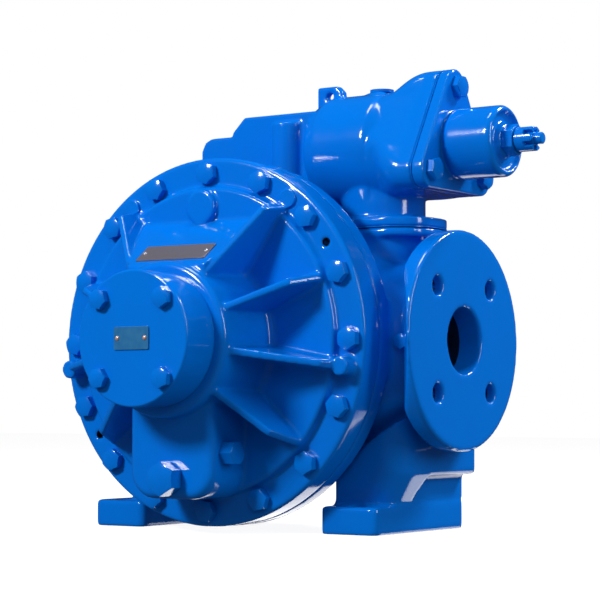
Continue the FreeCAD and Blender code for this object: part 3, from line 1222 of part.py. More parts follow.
# Relief valve, drawn about its own axis along X
def make_valve_body():
    """Valve casting: barrel with a three-lobed flange, box on the left, round neck on the right."""
    body = new_body("valve_body")
    barrel, rounding = "Sizes.barrel_diameter / 2", "Sizes.box_rounding"
    left_bottom, right_bottom = LEFT_SEAT, RIGHT_SEAT
    revolve(body, "barrel", [
        ("Sizes.barrel_left", "0"), ("Sizes.barrel_left", f"{barrel} - 18"),
        ("Sizes.barrel_left + 6", f"{barrel} - 6"), ("Sizes.barrel_left + 18", barrel),
        ("Sizes.flare_start + 2", barrel), ("Sizes.flare_start + 22", f"{barrel} - 10"),
        ("Sizes.flare_start + 22", "0"),
    ], axis="H_Axis")
    near = new_sketch(body, "flare_near_outline", "YZ_Plane", "Sizes.flare_start")
    lobed_triangle(near, "4", f"({barrel} - 6)")
    far = new_sketch(body, "flare_far_outline", "YZ_Plane", "Sizes.flare_end")
    lobed_triangle(far, "Sizes.flange_bolt_radius", "Sizes.flange_lobe_radius")
    end = new_sketch(body, "flange_face_outline", "YZ_Plane", "Sizes.valve_face")
    lobed_triangle(end, "Sizes.flange_bolt_radius", "Sizes.flange_lobe_radius")
    flare = body.newObject("PartDesign::AdditiveLoft", "flare")
    flare.Profile = near
    flare.Sections = [far, end]
    flare.Ruled = True
    body.Tip = flare
    doc.recompute()

    box = new_sketch(body, "box_outline", "XZ_Plane", "0")
    top, low_top, bottom = "Sizes.box_top", "Sizes.shoulder_top", left_bottom
    left = "-Sizes.shoulder_left"
    polygon(box, [(left, bottom), ("Sizes.box_right", bottom), ("Sizes.box_right", f"{top} - 3"),
                  ("Sizes.box_right - 3", top), (f"-Sizes.box_left + {rounding}", top),
                  ("-Sizes.box_left", f"{top} - {rounding}"),
                  ("-Sizes.box_left", low_top), (f"{left} + 12", low_top), (f"{left} + 4", f"{low_top} - 4"),
                  (left, f"{low_top} - 12")])
    pad(body, "box", box, "2 * Sizes.box_half_width", symmetric=True)
    left_plate = new_sketch(body, "left_plate_outline", "XY_Plane", left_bottom)
    rounded_box(left_plate, "-Sizes.left_pad_outer", "Sizes.left_pad_inner", "-Sizes.left_pad_half_width",
                "Sizes.left_pad_half_width", "Sizes.left_pad_corner")
    pad(body, "left_plate", left_plate, "Sizes.valve_plate_thickness")
    columns = new_sketch(body, "bolt_column_outline", "XY_Plane", left_bottom)
    for v in ("-", ""):
        circle(columns, "Sizes.bolt_column_x", f"{v}Sizes.bolt_column_y", "Sizes.bolt_column_radius")
    pad(body, "bolt_columns", columns, f"Sizes.bolt_column_top - {left_bottom}")

    right_plate = new_sketch(body, "right_plate_outline", "XY_Plane", right_bottom)
    rounded_box(right_plate, *NECK_OUTLINE)
    pad(body, "right_plate", right_plate, "Sizes.neck_plate_thickness")
    neck = new_sketch(body, "neck_outline", "XY_Plane", right_bottom)
    circle(neck, "Sizes.neck_centre", "0", "Sizes.valve_neck_diameter / 2")
    pad(body, "neck", neck, f"-{right_bottom}")
    plate_top = value(f"{right_bottom} + Sizes.neck_plate_thickness")
    round_edges(body, "neck_rounding", "Sizes.neck_rounding", lambda edge: isinstance(edge.Curve, Part.Circle)
                and abs(edge.Curve.Center.x - value("Sizes.neck_centre")) < 0.01
                and abs(edge.Curve.Center.z - plate_top) < 0.01)

    lug = new_sketch(body, "lifting_lug_outline", "XZ_Plane", "0")
    lug_left, lug_right = "Sizes.lifting_lug_left", "Sizes.lifting_lug_right"
    lug_top = "Sizes.lifting_lug_top"
    polygon(lug, [(lug_left, "30"), (lug_right, "30"), (lug_right, f"{lug_top} - 6"),
                  (f"{lug_right} - 6", lug_top), (lug_left, lug_top)])
    pad(body, "lifting_lug", lug, "Sizes.lifting_lug_thickness", symmetric=True)
    lug_hole = new_sketch(body, "lug_hole_outline", "XZ_Plane", "Sizes.lifting_lug_thickness")
    circle(lug_hole, f"({lug_left} + {lug_right}) / 2", f"{lug_top} - 10", "Sizes.lifting_lug_hole / 2")
    pocket(body, "lug_hole", lug_hole, "2 * Sizes.lifting_lug_thickness")
    vent = new_sketch(body, "vent_boss_outline", "XY_Plane", "30")
    circle(vent, "Sizes.vent_plug_x", "0", "Sizes.vent_plug_diameter / 2 + 3")
    pad(body, "vent_boss", vent, f"{VENT_TOP} - 30")

    bore = "Sizes.barrel_bore_diameter / 2"
    seat = "Sizes.seat_bore_diameter / 2"
    revolve(body, "valve_bore", [("-(Sizes.left_passage_centre)", "0"), ("Sizes.valve_face + 1", "0"),
                                 ("Sizes.valve_face + 1", bore), ("Sizes.seat_wall_left", bore),
                                 ("Sizes.seat_wall_left", seat), ("-(Sizes.left_passage_centre)", seat)],
            axis="H_Axis", cut=True)
    left_hole = new_sketch(body, "left_passage_outline", "XY_Plane", left_bottom)
    circle(left_hole, "-Sizes.left_passage_centre", "0", "Sizes.left_passage_diameter / 2")
    pocket(body, "left_passage", left_hole, f"-{left_bottom}", reverse=True)
    right_hole = new_sketch(body, "right_passage_outline", "XY_Plane", right_bottom)
    circle(right_hole, "Sizes.neck_centre", "0", "Sizes.valve_passage_diameter / 2")
    pocket(body, "right_passage", right_hole, f"-{right_bottom}", reverse=True)
    vent_hole = new_sketch(body, "vent_hole_outline", "XY_Plane", VENT_TOP)
    circle(vent_hole, "Sizes.vent_plug_x", "0", "Sizes.vent_thread_diameter / 2 + Sizes.fit_clearance")
    pocket(body, "vent_hole", vent_hole, VENT_TOP)
    base_holes = new_sketch(body, "base_bolt_hole_outline", "XY_Plane",
                            f"{left_bottom} + Sizes.valve_plate_thickness")
    for u, v in LEFT_BOLTS:
        circle(base_holes, u, v, "Sizes.valve_bolt_diameter / 2 + Sizes.hole_clearance")
    pocket(body, "base_bolt_holes", base_holes, "Sizes.valve_plate_thickness")
    foot_top = f"{right_bottom} + Sizes.neck_plate_thickness"
    for name, width, depth in (
            ("neck_screw_holes", "Sizes.neck_screw_diameter", "Sizes.neck_plate_thickness"),
            ("neck_screw_sinks", "Sizes.neck_screw_head_diameter", "Sizes.neck_screw_head")):
        sketch = new_sketch(body, f"{name}_outline", "XY_Plane", foot_top)
        for u, v in NECK_SCREWS:
            circle(sketch, u, v, f"{width} / 2 + Sizes.hole_clearance")
        pocket(body, name, sketch, depth)
    cap_holes = new_sketch(body, "cap_bolt_hole_outline", "YZ_Plane", "Sizes.valve_face")
    circle(cap_holes, "0", "Sizes.flange_bolt_radius", "Sizes.valve_bolt_diameter / 2 + Sizes.fit_clearance")
    hole = pocket(body, "cap_bolt_hole", cap_holes, "Sizes.long_thread + Sizes.thread_relief")
    ring_pattern(body, "cap_bolt_holes", [hole], "X_Axis", "3")
    lift(body, z=VALVE_AXIS)


def make_valve_turned(name, points):
    """Piece of the relief valve turned about the valve's axis, from (place along X, radius) pairs."""
    body = new_body(name)
    revolve(body, "turned", points, axis="H_Axis")
    lift(body, z=VALVE_AXIS)
    return body


def make_valve_cap():
    """Valve cap with its three-lobed flange and the long round nose that holds the screw."""
    body = new_body("valve_cap")
    outside, face = "Sizes.valve_cap_diameter / 2", "Sizes.valve_cap_face"
    flange = new_sketch(body, "flange_outline", "YZ_Plane", CAP_SEAT)
    lobed_triangle(flange, "Sizes.flange_bolt_radius", "Sizes.flange_lobe_radius")
    pad(body, "flange", flange, "Sizes.valve_cap_flange_thickness")
    revolve(body, "nose", [(f"{CAP_SEAT} + 1", "0"), (face, "0"), (face, f"{outside} - 6"),
                           (f"{face} - 1.5", f"{outside} - 2"), (f"{face} - 4", outside),
                           (f"{CAP_SEAT} + Sizes.valve_cap_flange_thickness + 6", outside),
                           (f"{CAP_SEAT} + Sizes.valve_cap_flange_thickness + 1", f"{outside} - 3"),
                           (f"{CAP_SEAT} + 1", f"{outside} - 3")], axis="H_Axis")
    bore, thread = "Sizes.valve_cap_bore_diameter / 2", "Sizes.screw_diameter / 2 + Sizes.fit_clearance"
    inner_end = f"({face} - Sizes.valve_cap_wall)"
    revolve(body, "bore", [(f"{CAP_SEAT} - 1", "0"), (f"{face} + 1", "0"), (f"{face} + 1", thread),
                           (inner_end, thread), (inner_end, bore), (f"{CAP_SEAT} - 1", bore)],
            axis="H_Axis", cut=True)
    holes = new_sketch(body, "hole_outline", "YZ_Plane", f"{CAP_SEAT} + Sizes.valve_cap_flange_thickness")
    circle(holes, "0", "Sizes.flange_bolt_radius", "Sizes.valve_bolt_diameter / 2 + Sizes.hole_clearance")
    hole = pocket(body, "hole", holes, "Sizes.valve_cap_flange_thickness")
    ring_pattern(body, "holes", [hole], "X_Axis", "3")
    lift(body, z=VALVE_AXIS)


def make_adjusting_screw():
    """Adjusting screw with a castellated head and a plain tip."""
    rod, head = "Sizes.screw_diameter / 2", "Sizes.screw_collar_diameter / 2"
    head_start = "(Sizes.valve_cap_face + Sizes.lock_nut_height + 1)"
    body = make_valve_turned("adjusting_screw", [
        ("Sizes.screw_inner_end", "0"), ("Sizes.screw_inner_end", f"{rod} - 1"),
        ("Sizes.screw_inner_end + 1", rod), (head_start, rod), (head_start, head),
        ("Sizes.screw_collar_end", head), ("Sizes.screw_collar_end", "Sizes.screw_tip_diameter / 2"),
        ("Sizes.screw_tip_end - 1", "Sizes.screw_tip_diameter / 2"),
        ("Sizes.screw_tip_end", "Sizes.screw_tip_diameter / 2 - 1"), ("Sizes.screw_tip_end", "0"),
    ])
    slot = new_sketch(body, "slot_outline", "YZ_Plane", "Sizes.screw_collar_end")
    half = "Sizes.castle_slot / 2"
    tip = "Sizes.screw_tip_diameter / 2"
    polygon(slot, [(f"-{half}", f"{tip} + 1"), (half, f"{tip} + 1"),
                   (half, f"{head} + 1"), (f"-{half}", f"{head} + 1")])
    cut = pocket(body, "slot", slot, "8")
    ring_pattern(body, "slots", [cut], "X_Axis", "6")


def make_lock_nut():
    """Hexagon nut that locks the adjusting screw against the cap."""
    body = new_body("lock_nut")
    sketch = new_sketch(body, "nut_outline", "YZ_Plane", "Sizes.valve_cap_face")
    hexagon(sketch, "0", "0", "Sizes.lock_nut_flats")
    circle(sketch, "0", "0", "Sizes.screw_diameter / 2 + Sizes.fit_clearance")
    pad(body, "nut", sketch, "Sizes.lock_nut_height")
    lift(body, z=VALVE_AXIS)


def make_valve_spring():
    """Coil spring between the poppet and the spring plate."""
    body = new_body("valve_spring")
    sketch = new_sketch(body, "wire_section", "XY_Plane")
    circle(sketch, f"{SPRING_START} + Sizes.spring_wire / 2 + Sizes.running_clearance",
           "Sizes.spring_diameter / 2", "Sizes.spring_wire / 2")
    coil = body.newObject("PartDesign::AdditiveHelix", "coil")
    coil.Profile = sketch
    coil.ReferenceAxis = (sketch, ["H_Axis"])
    coil.Mode = "height-turns-angle"
    coil.setExpression("Height", f"{PLATE_START} - {SPRING_START} - Sizes.spring_wire "
                       "- 2 * Sizes.running_clearance")
    coil.setExpression("Turns", "Sizes.spring_turns")
    body.Tip = coil
    doc.recompute()
    lift(body, z=VALVE_AXIS)


def make_gasket(name, seat, outline, hole_x, hole, places, screw):
    """Flat gasket under one foot of the relief valve.

    Args:
        name: Label of the gasket.
        seat: Height of the casing's seat above the shaft.
        outline: Left, right, front, rear and corner radius of the outline.
        hole_x: Place of the passage along X.
        hole: Diameter of the passage.
        places: Centres of the screw holes.
        screw: Diameter of the screws.
    """
    body = new_body(name)
    sketch = new_sketch(body, "gasket_outline", "XY_Plane", seat)
    rounded_box(sketch, *outline)
    circle(sketch, hole_x, "0", f"{hole} / 2")
    for u, v in places:
        circle(sketch, u, v, f"{screw} / 2 + Sizes.hole_clearance")
    pad(body, "gasket", sketch, "Sizes.gasket_thickness")
    lift(body)


def make_base_bolts():
    """Hex bolts through the left foot of the relief valve into the casing."""
    body = new_body("base_bolts")
    seat = f"({LEFT_PAD} + Sizes.gasket_thickness + Sizes.valve_plate_thickness)"
    heads = new_sketch(body, "head_outline", "XY_Plane", seat)
    shanks = new_sketch(body, "shank_outline", "XY_Plane", seat)
    for u, v in LEFT_BOLTS:
        hexagon(heads, u, v, "Sizes.valve_bolt_flats")
        circle(shanks, u, v, "Sizes.valve_bolt_diameter / 2")
    pad(body, "heads", heads, "Sizes.valve_bolt_head")
    pad(body, "shanks", shanks, "Sizes.valve_plate_thickness + Sizes.gasket_thickness + Sizes.long_thread",
        reverse=True)
    lift(body)


def make_neck_screws():
    """Low-headed screws sunk flush into the foot of the valve's neck."""
    body = new_body("neck_screws")
    top = f"({RIGHT_PAD} + Sizes.gasket_thickness + Sizes.neck_plate_thickness)"
    under = f"({top} - Sizes.neck_screw_head)"
    heads = new_sketch(body, "head_outline", "XY_Plane", under)
    shanks = new_sketch(body, "shank_outline", "XY_Plane", under)
    for u, v in NECK_SCREWS:
        circle(heads, u, v, "Sizes.neck_screw_head_diameter / 2")
        circle(shanks, u, v, "Sizes.neck_screw_diameter / 2")
    pad(body, "heads", heads, "Sizes.neck_screw_head")
    pad(body, "shanks", shanks, f"{under} - {RIGHT_PAD} + Sizes.neck_screw_thread", reverse=True)
    lift(body)


def make_lobed_gasket():
    """Flat gasket between the valve casting and its cap."""
    body = new_body("valve_cap_gasket")
    sketch = new_sketch(body, "gasket_outline", "YZ_Plane", "Sizes.valve_face")
    lobed_triangle(sketch, "Sizes.flange_bolt_radius", "Sizes.flange_lobe_radius")
    circle(sketch, "0", "0", "Sizes.barrel_bore_diameter / 2")
    for angle in (90, 210, 330):
        circle(sketch, f"Sizes.flange_bolt_radius * cos({angle})", f"Sizes.flange_bolt_radius * sin({angle})",
               "Sizes.valve_bolt_diameter / 2 + Sizes.hole_clearance")
    pad(body, "gasket", sketch, "Sizes.gasket_thickness")
    lift(body, z=VALVE_AXIS)


def make_cap_gasket():
    """Flat ring gasket under the bearing cap."""
    body = new_body("cap_gasket")
    sketch = new_sketch(body, "gasket_outline", "XZ_Plane", f"-({HUB_FACE})")
    circle(sketch, "0", "0", "Sizes.cap_diameter / 2")
    circle(sketch, "0", "0", "Sizes.front_bearing_outer_diameter / 2")
    for angle in (45, 135, 225, 315):
        circle(sketch, f"Sizes.cap_bolt_circle / 2 * cos({angle})",
               f"Sizes.cap_bolt_circle / 2 * sin({angle})",
               "Sizes.cap_bolt_diameter / 2 + Sizes.hole_clearance")
    pad(body, "gasket", sketch, "Sizes.gasket_thickness")
    lift(body)


def make_shaft_parts():
    """Bearings, seals, nut and rings along the shaft."""
    bearing_front = f"({HUB_FACE} + Sizes.bearing_recess)"
    make_bearing("front_bearing", "Sizes.front_journal_diameter", "Sizes.front_bearing_outer_diameter",
                 bearing_front, "Sizes.front_bearing_width", "Sizes.race_thickness")
    make_rollers("front_bearing_rollers", "Sizes.front_journal_diameter",
                 "Sizes.front_bearing_outer_diameter", bearing_front, "Sizes.front_bearing_width",
                 "Sizes.race_thickness", "Sizes.roller_count")
    make_bearing("eccentric_bearing", "Sizes.eccentric_diameter", "Sizes.eccentric_bearing_outer_diameter",
                 ECCENTRIC_FRONT, "Sizes.eccentric_bearing_width", "Sizes.thick_race", "Sizes.eccentricity")
    make_rollers("eccentric_bearing_rollers", "Sizes.eccentric_diameter",
                 "Sizes.eccentric_bearing_outer_diameter", ECCENTRIC_FRONT, "Sizes.eccentric_bearing_width",
                 "Sizes.thick_race", "Sizes.eccentric_roller_count", "Sizes.eccentricity")
    rear_front = "(Sizes.rear_hub_end - Sizes.rear_bearing_recess - Sizes.rear_bearing_width)"
    make_bearing("rear_bearing", "Sizes.rear_journal_diameter", "Sizes.rear_bearing_outer_diameter",
                 rear_front, "Sizes.rear_bearing_width", "Sizes.thick_race")
    make_balls("rear_bearing_balls", "Sizes.rear_journal_diameter", "Sizes.rear_bearing_outer_diameter",
               f"{rear_front} + Sizes.rear_bearing_width / 2", "Sizes.thick_race", "Sizes.ball_count")
    make_retaining_ring("eccentric_retaining_ring", "Sizes.eccentric_diameter",
                        f"({ECCENTRIC_FRONT} + Sizes.eccentric_bearing_width)", "Sizes.eccentricity")
    make_retaining_ring("rear_retaining_ring", "Sizes.rear_journal_diameter",
                        "(Sizes.rear_hub_end - Sizes.rear_bearing_recess)")
    make_front_nut()
    make_plain_ring("front_seal", "Sizes.shaft_collar_diameter / 2 + Sizes.fit_clearance",
                    "Sizes.front_bearing_outer_diameter / 2 - 6 - Sizes.fit_clearance",
                    f"({BEARING_BACK} + 2)", f"({BEARING_BACK} + 10)")
    make_plain_ring("cylinder_bush", f"{REAR_JOURNAL} + Sizes.fit_clearance",
                    f"{REAR_JOURNAL} + Sizes.bush_thickness - Sizes.fit_clearance",
                    CYLINDER_FRONT, "Sizes.channel_floor")
    back = "(Sizes.rear_hub_end + Sizes.rear_cap_thickness)"
    make_plain_ring("shaft_seal", f"{REAR_JOURNAL} - 2 + Sizes.fit_clearance",
                    "Sizes.seal_diameter / 2 - Sizes.fit_clearance", f"({back} - Sizes.seal_width)", back)


def make_cover_fittings():
    """Bolts, plugs and plates on the cover and its cap."""
    cover_shank = "Sizes.cover_flange_thickness + Sizes.body_flange_thickness - 4"
    bolt_ring("cover_bolts", "cover_bolt", "XZ_Plane", "Y_Axis", f"-({COVER_FACE})",
              BOLT_REACH, "0", "Sizes.cover_bolt_count", cover_shank)
    bolt_ring("cap_bolts", "cap_bolt", "XZ_Plane", "Y_Axis", f"-({CAP_FACE})", "Sizes.cap_bolt_circle / 2",
              "45", "Sizes.cap_bolt_count", "Sizes.cap_length + Sizes.gasket_thickness + Sizes.long_thread")
    bolt_ring("cylinder_screws", "cylinder_screw", "XZ_Plane", "Y_Axis",
              "-(Sizes.chamber_seat - Sizes.lip_thickness)", SCREW_REACH, "0",
              "Sizes.cylinder_screw_count", "Sizes.lip_thickness + Sizes.short_thread")
    make_cap_gasket()
    make_oring()
    make_plate("cap_plate", "Sizes.cap_plate_length", "Sizes.cap_plate_width", (CAP_FACE, "0"), "90")
    slope = f"atan(({RAMP_ROOT} - Sizes.ramp_hub_height) / (Sizes.ramp_depth + 6))"
    make_plate("name_plate", "Sizes.name_plate_length", "Sizes.name_plate_width",
               (f"{PLATEAU} - Sizes.ramp_depth + Sizes.name_plate_inset * cos({slope})",
                f"Sizes.ramp_hub_height + Sizes.name_plate_inset * sin({slope})"), slope)
    make_plug("drain_plug", "XZ_Plane", f"-({PLATEAU}) + Sizes.drain_boss_height", "0",
              DRAIN_PLUG_PLACE, "Sizes.drain_plug_flats", "Sizes.drain_plug_length",
              "Sizes.drain_plug_diameter")
    make_plug("side_plug", "YZ_Plane", "Sizes.drain_boss_width / 2", SIDE_PLUG_PLACE,
              SIDE_PLUG_HEIGHT, "Sizes.side_plug_flats", "Sizes.side_plug_length",
              "Sizes.side_plug_diameter")


def make_valve_parts():
    """Pieces inside and on the relief valve."""
    ring = "Sizes.barrel_bore_diameter / 2 - Sizes.fit_clearance"
    seat = "Sizes.seat_bore_diameter / 2"
    make_valve_turned("valve_seat", [("Sizes.seat_wall_left", seat), ("Sizes.seat_wall_right", seat),
                                     ("Sizes.seat_wall_right", ring), ("Sizes.seat_wall_left", ring)])
    poppet, stem = "Sizes.poppet_diameter / 2", "Sizes.poppet_stem_diameter / 2"
    make_valve_turned("valve_poppet", [
        (POPPET_START, "0"), (POPPET_START, poppet), (SPRING_START, poppet), (SPRING_START, stem),
        (f"{SPRING_START} + Sizes.poppet_stem_length", stem),
        (f"{SPRING_START} + Sizes.poppet_stem_length", "0")])
    plate = "Sizes.barrel_bore_diameter / 2 - Sizes.running_clearance"
    make_valve_turned("spring_plate", [(PLATE_START, "0"), (PLATE_START, plate),
                                       ("Sizes.screw_inner_end", plate), ("Sizes.screw_inner_end", "0")])
    make_valve_spring()
    make_valve_cap()
    make_adjusting_screw()
    make_lock_nut()
    make_lobed_gasket()
    bolts = bolt_ring("valve_cap_bolts", "valve_bolt", "YZ_Plane", "X_Axis",
                      f"{CAP_SEAT} + Sizes.valve_cap_flange_thickness", "Sizes.flange_bolt_radius", "90", "3",
                      "Sizes.valve_cap_flange_thickness + Sizes.gasket_thickness + Sizes.long_thread")
    lift(bolts, z=VALVE_AXIS)
    vent = new_body("vent_plug")
    revolve_points = [
        ("0", f"{VENT_TOP} - 14"), ("Sizes.vent_thread_diameter / 2", f"{VENT_TOP} - 14"),
        ("Sizes.vent_thread_diameter / 2", VENT_TOP), ("Sizes.vent_plug_diameter / 2", VENT_TOP),
        ("Sizes.vent_plug_diameter / 2", f"{VENT_TOP} + Sizes.vent_plug_head"),
        ("0", f"{VENT_TOP} + Sizes.vent_plug_head")]
    revolve(vent, "plug", revolve_points, plane="XZ_Plane")
    lift(vent, x="Sizes.vent_plug_x", z=VALVE_AXIS)
    make_gasket("neck_gasket", RIGHT_PAD, NECK_OUTLINE, "Sizes.neck_centre", "Sizes.valve_passage_diameter",
                NECK_SCREWS, "Sizes.neck_screw_diameter")
    make_gasket("base_gasket", LEFT_PAD,
                ("-Sizes.left_pad_outer", "Sizes.left_pad_inner", "-Sizes.left_pad_half_width",
                 "Sizes.left_pad_half_width", "Sizes.left_pad_corner"),
                "-Sizes.left_passage_centre", "Sizes.left_passage_diameter", LEFT_BOLTS,
                "Sizes.valve_bolt_diameter")
    make_neck_screws()
    make_base_bolts()


make_pump_body()
make_front_cover()
make_bearing_cap()
make_cover_fittings()
make_cylinder()
make_partition()
make_disc()
make_shaft()
make_shaft_parts()
make_rear_cap()
rear_bolts = bolt_ring("rear_cap_bolts", "rear_bolt", "XZ_Plane", "Y_Axis",
                       "-(Sizes.rear_hub_end + Sizes.rear_cap_thickness)", "Sizes.rear_cap_bolt_circle / 2",
                       "90", "Sizes.rear_cap_bolt_count", "Sizes.rear_cap_thickness + Sizes.short_thread",
                       outward=False)
make_valve_body()
make_valve_parts()
doc.recompute()
faults = [item.Name for item in doc.Objects if "Invalid" in item.State or "Error" in item.State]
if faults:
    raise RuntimeError(f"failed objects: {faults}")
os.makedirs("parts", exist_ok=True)
for part in PARTS:
    if part.Shape.isNull() or not part.Shape.isValid():
        raise RuntimeError(f"{part.Label} has no valid shape")
    part.Shape.exportStep(os.path.join("parts", f"{part.Label}.step"))
    print(part.Label, len(part.Shape.Solids), round(part.Shape.Volume / 1000, 1), "cm3")
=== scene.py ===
import json
import logging
import math
from dataclasses import dataclass, field
from enum import Enum
from typing import Callable

import bmesh
import bpy
from mathutils import Matrix, Vector


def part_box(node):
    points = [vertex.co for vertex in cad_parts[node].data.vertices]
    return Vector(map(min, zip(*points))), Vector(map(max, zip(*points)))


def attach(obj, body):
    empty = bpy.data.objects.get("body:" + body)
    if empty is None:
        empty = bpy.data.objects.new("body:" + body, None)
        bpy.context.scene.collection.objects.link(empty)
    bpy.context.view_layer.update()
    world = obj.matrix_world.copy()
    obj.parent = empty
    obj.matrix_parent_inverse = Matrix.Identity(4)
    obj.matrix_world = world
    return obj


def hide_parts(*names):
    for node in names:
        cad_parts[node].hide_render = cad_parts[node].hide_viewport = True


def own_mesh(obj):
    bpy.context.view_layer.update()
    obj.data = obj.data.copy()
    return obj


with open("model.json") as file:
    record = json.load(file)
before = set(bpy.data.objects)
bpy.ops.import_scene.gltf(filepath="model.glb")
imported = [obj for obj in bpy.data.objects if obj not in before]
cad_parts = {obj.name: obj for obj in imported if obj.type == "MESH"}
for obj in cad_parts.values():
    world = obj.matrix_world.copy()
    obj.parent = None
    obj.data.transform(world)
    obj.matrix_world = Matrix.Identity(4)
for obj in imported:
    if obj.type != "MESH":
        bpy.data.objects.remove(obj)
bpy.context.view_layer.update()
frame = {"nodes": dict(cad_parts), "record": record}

LOG = logging.getLogger("eccentric_disc_pump")

# Every size below is in millimetres unless its docstring says otherwise; MM turns one into metres
MM = 0.001

# Places that several pieces share
SHAFT_HEIGHT = 180.0
VALVE_HEIGHT = 365.0
COVER_FACE = -115.0
COVER_BOLT_RADIUS = 160.0

# Angles in degrees above which an edge between two faces stays sharp
FLAT_SHADED = 1.0
CREASED = 32.0
SLEEVE_RIMS = 60.0
ALL_SMOOTH = 180.0

WHITE = (1.0, 1.0, 1.0, 1.0)

Place = tuple[float, float, float]
Shaping = Callable[[Vector], Vector]


def linear(colour: str) -> tuple[float, float, float, float]:
    """Turn an sRGB hex colour into a linear one with alpha.

    Args:
        colour: Six hex digits with a leading hash sign.

    Returns:
        Red, green, blue and alpha for a shader socket.
    """
    channels = []
    for place in (1, 3, 5):
        level = int(colour[place:place + 2], 16) / 255.0
        if level <= 0.04045:
            channels.append(level / 12.92)
        else:
            channels.append(((level + 0.055) / 1.055) ** 2.4)
    return (channels[0], channels[1], channels[2], 1.0)


def add_node(tree: bpy.types.NodeTree, kind: str, settings: dict | None = None,
             inputs: dict | None = None) -> bpy.types.Node:
    """Add one node with its settings and its inputs.

    Args:
        tree: The node tree that the node goes into.
        kind: The node's type name.
        settings: Property values by name.
        inputs: By input name or number, either a plain value or an output socket to link.

    Returns:
        The new node.
    """
    node = tree.nodes.new(kind)
    for name, chosen in (settings or {}).items():
        setattr(node, name, chosen)
    for name, given in (inputs or {}).items():
        if isinstance(given, bpy.types.NodeSocket):
            tree.links.new(given, node.inputs[name])
        else:
            node.inputs[name].default_value = given
    return node


@dataclass(frozen=True)
class Finish:
    """A surface: its two colours, its gloss, and the grain that its making leaves."""

    name: str
    colour: str
    second_colour: str
    roughness: float
    metallic: float = 0.0
    specular: float = 0.5
    patch_size: float = 40.0
    grain_size: float = 1.6
    grain_height: float = 0.0
    edge_radius: float = 0.0
    roughness_swing: float = 0.06
    glow: float = 0.0

    def make(self) -> bpy.types.Material:
        """Build the material with its patterns on object coordinates.

        Returns:
            The finished material.
        """
        material = bpy.data.materials.new(self.name)
        material.use_nodes = True
        tree = material.node_tree
        tree.nodes.clear()
        where = add_node(tree, "ShaderNodeTexCoord").outputs["Object"]
        patches = add_node(
            tree, "ShaderNodeTexNoise",
            inputs={"Vector": where, "Scale": 1.0 / (self.patch_size * MM), "Detail": 3.0,
                    "Roughness": 0.55},
        )
        # The mix node's inputs 6 and 7, and its output 2, are the ones for colours
        tone = add_node(
            tree, "ShaderNodeMix", {"data_type": "RGBA"},
            {0: patches.outputs["Fac"], 6: linear(self.colour), 7: linear(self.second_colour)},
        )
        gloss = add_node(
            tree, "ShaderNodeMapRange",
            inputs={"Value": patches.outputs["Fac"], "From Min": 0.3, "From Max": 0.7,
                    "To Min": self.roughness, "To Max": self.roughness + self.roughness_swing},
        )
        shader = add_node(
            tree, "ShaderNodeBsdfPrincipled",
            inputs={"Base Color": tone.outputs[2], "Roughness": gloss.outputs["Result"],
                    "Metallic": self.metallic, "Specular IOR Level": self.specular,
                    "Emission Color": WHITE, "Emission Strength": self.glow},
        )
        self.shape_surface(tree, where, shader)
        add_node(tree, "ShaderNodeOutputMaterial", inputs={"Surface": shader.outputs["BSDF"]})
        return material

    def shape_surface(self, tree: bpy.types.NodeTree, where: bpy.types.NodeSocket,
                      shader: bpy.types.Node) -> None:
        """Soften the edges and add the grain, where the finish has them.

        Args:
            tree: The material's node tree.
            where: The object coordinates.
            shader: The shader whose normal is set.
        """
        rounded = None
        if self.edge_radius > 0.0:
            rounded = add_node(
                tree, "ShaderNodeBevel", {"samples": 4}, {"Radius": self.edge_radius * MM},
            )
            tree.links.new(rounded.outputs["Normal"], shader.inputs["Normal"])
        if self.grain_height > 0.0:
            grain = add_node(
                tree, "ShaderNodeTexNoise",
                inputs={"Vector": where, "Scale": 1.0 / (self.grain_size * MM), "Detail": 2.0},
            )
            bump = add_node(
                tree, "ShaderNodeBump",
                inputs={"Height": grain.outputs["Fac"], "Distance": self.grain_height * MM,
                        "Strength": 1.0},
            )
            if rounded:
                tree.links.new(rounded.outputs["Normal"], bump.inputs["Normal"])
            tree.links.new(bump.outputs["Normal"], shader.inputs["Normal"])


# Gloss alkyd enamel, sprayed thickly over a sand casting: a saturated blue with sharp highlights that
# waver a little, because the film follows the slow waves of the skin below it
BLUE = Finish("sprayed_gloss_enamel_on_cast_iron", "#0070D6", "#006ACE", 0.09, specular=0.45,
              grain_size=9.0, grain_height=0.06)
# The same enamel over faces from the lathe: the highlights lie calmer, and the broken edges catch light
BLUE_TURNED = Finish("sprayed_gloss_enamel_on_turned_faces", "#0070D6", "#006ACE", 0.09, specular=0.45,
                     grain_size=14.0, grain_height=0.04, edge_radius=1.2)
# Enamel that ran thin on bolt corners and pooled at their seats: small uneven highlights on each head
BLUE_BOLT = Finish("sprayed_gloss_enamel_on_bolts", "#0072D8", "#0068CA", 0.1, specular=0.45,
                   patch_size=12.0, grain_size=4.0, grain_height=0.05, edge_radius=0.8)
# Moulded nitrile rubber: nearly black, with a soft sheen; its pores are drawn coarser than they are
BLACK = Finish("moulded_nitrile_rubber", "#1A1A1C", "#242426", 0.55, grain_size=0.8,
               grain_height=0.02)
# Brushed stainless sheet, bare of text: warm grey with a broad dull highlight. Its brush lines are too
# fine to show, so a faint grain of 1.2 mm stands for them
NAME_PLATE = Finish("brushed_stainless_plate", "#8F8A92", "#7C7880", 0.38, metallic=0.7,
                    grain_size=1.2, grain_height=0.01)
# Anodised sheet, bare of text: a teal that shifts in small patches and is duller than the enamel
CAP_PLATE = Finish("anodised_teal_plate", "#1C68A8", "#3480B0", 0.3, metallic=0.3, patch_size=6.0,
                   grain_size=1.2, grain_height=0.02)
# Drawn copper: two pink dots that stand out from the teal plate
COPPER = Finish("drawn_copper_rivet", "#E6BFB2", "#D8A99A", 0.3, metallic=0.6)
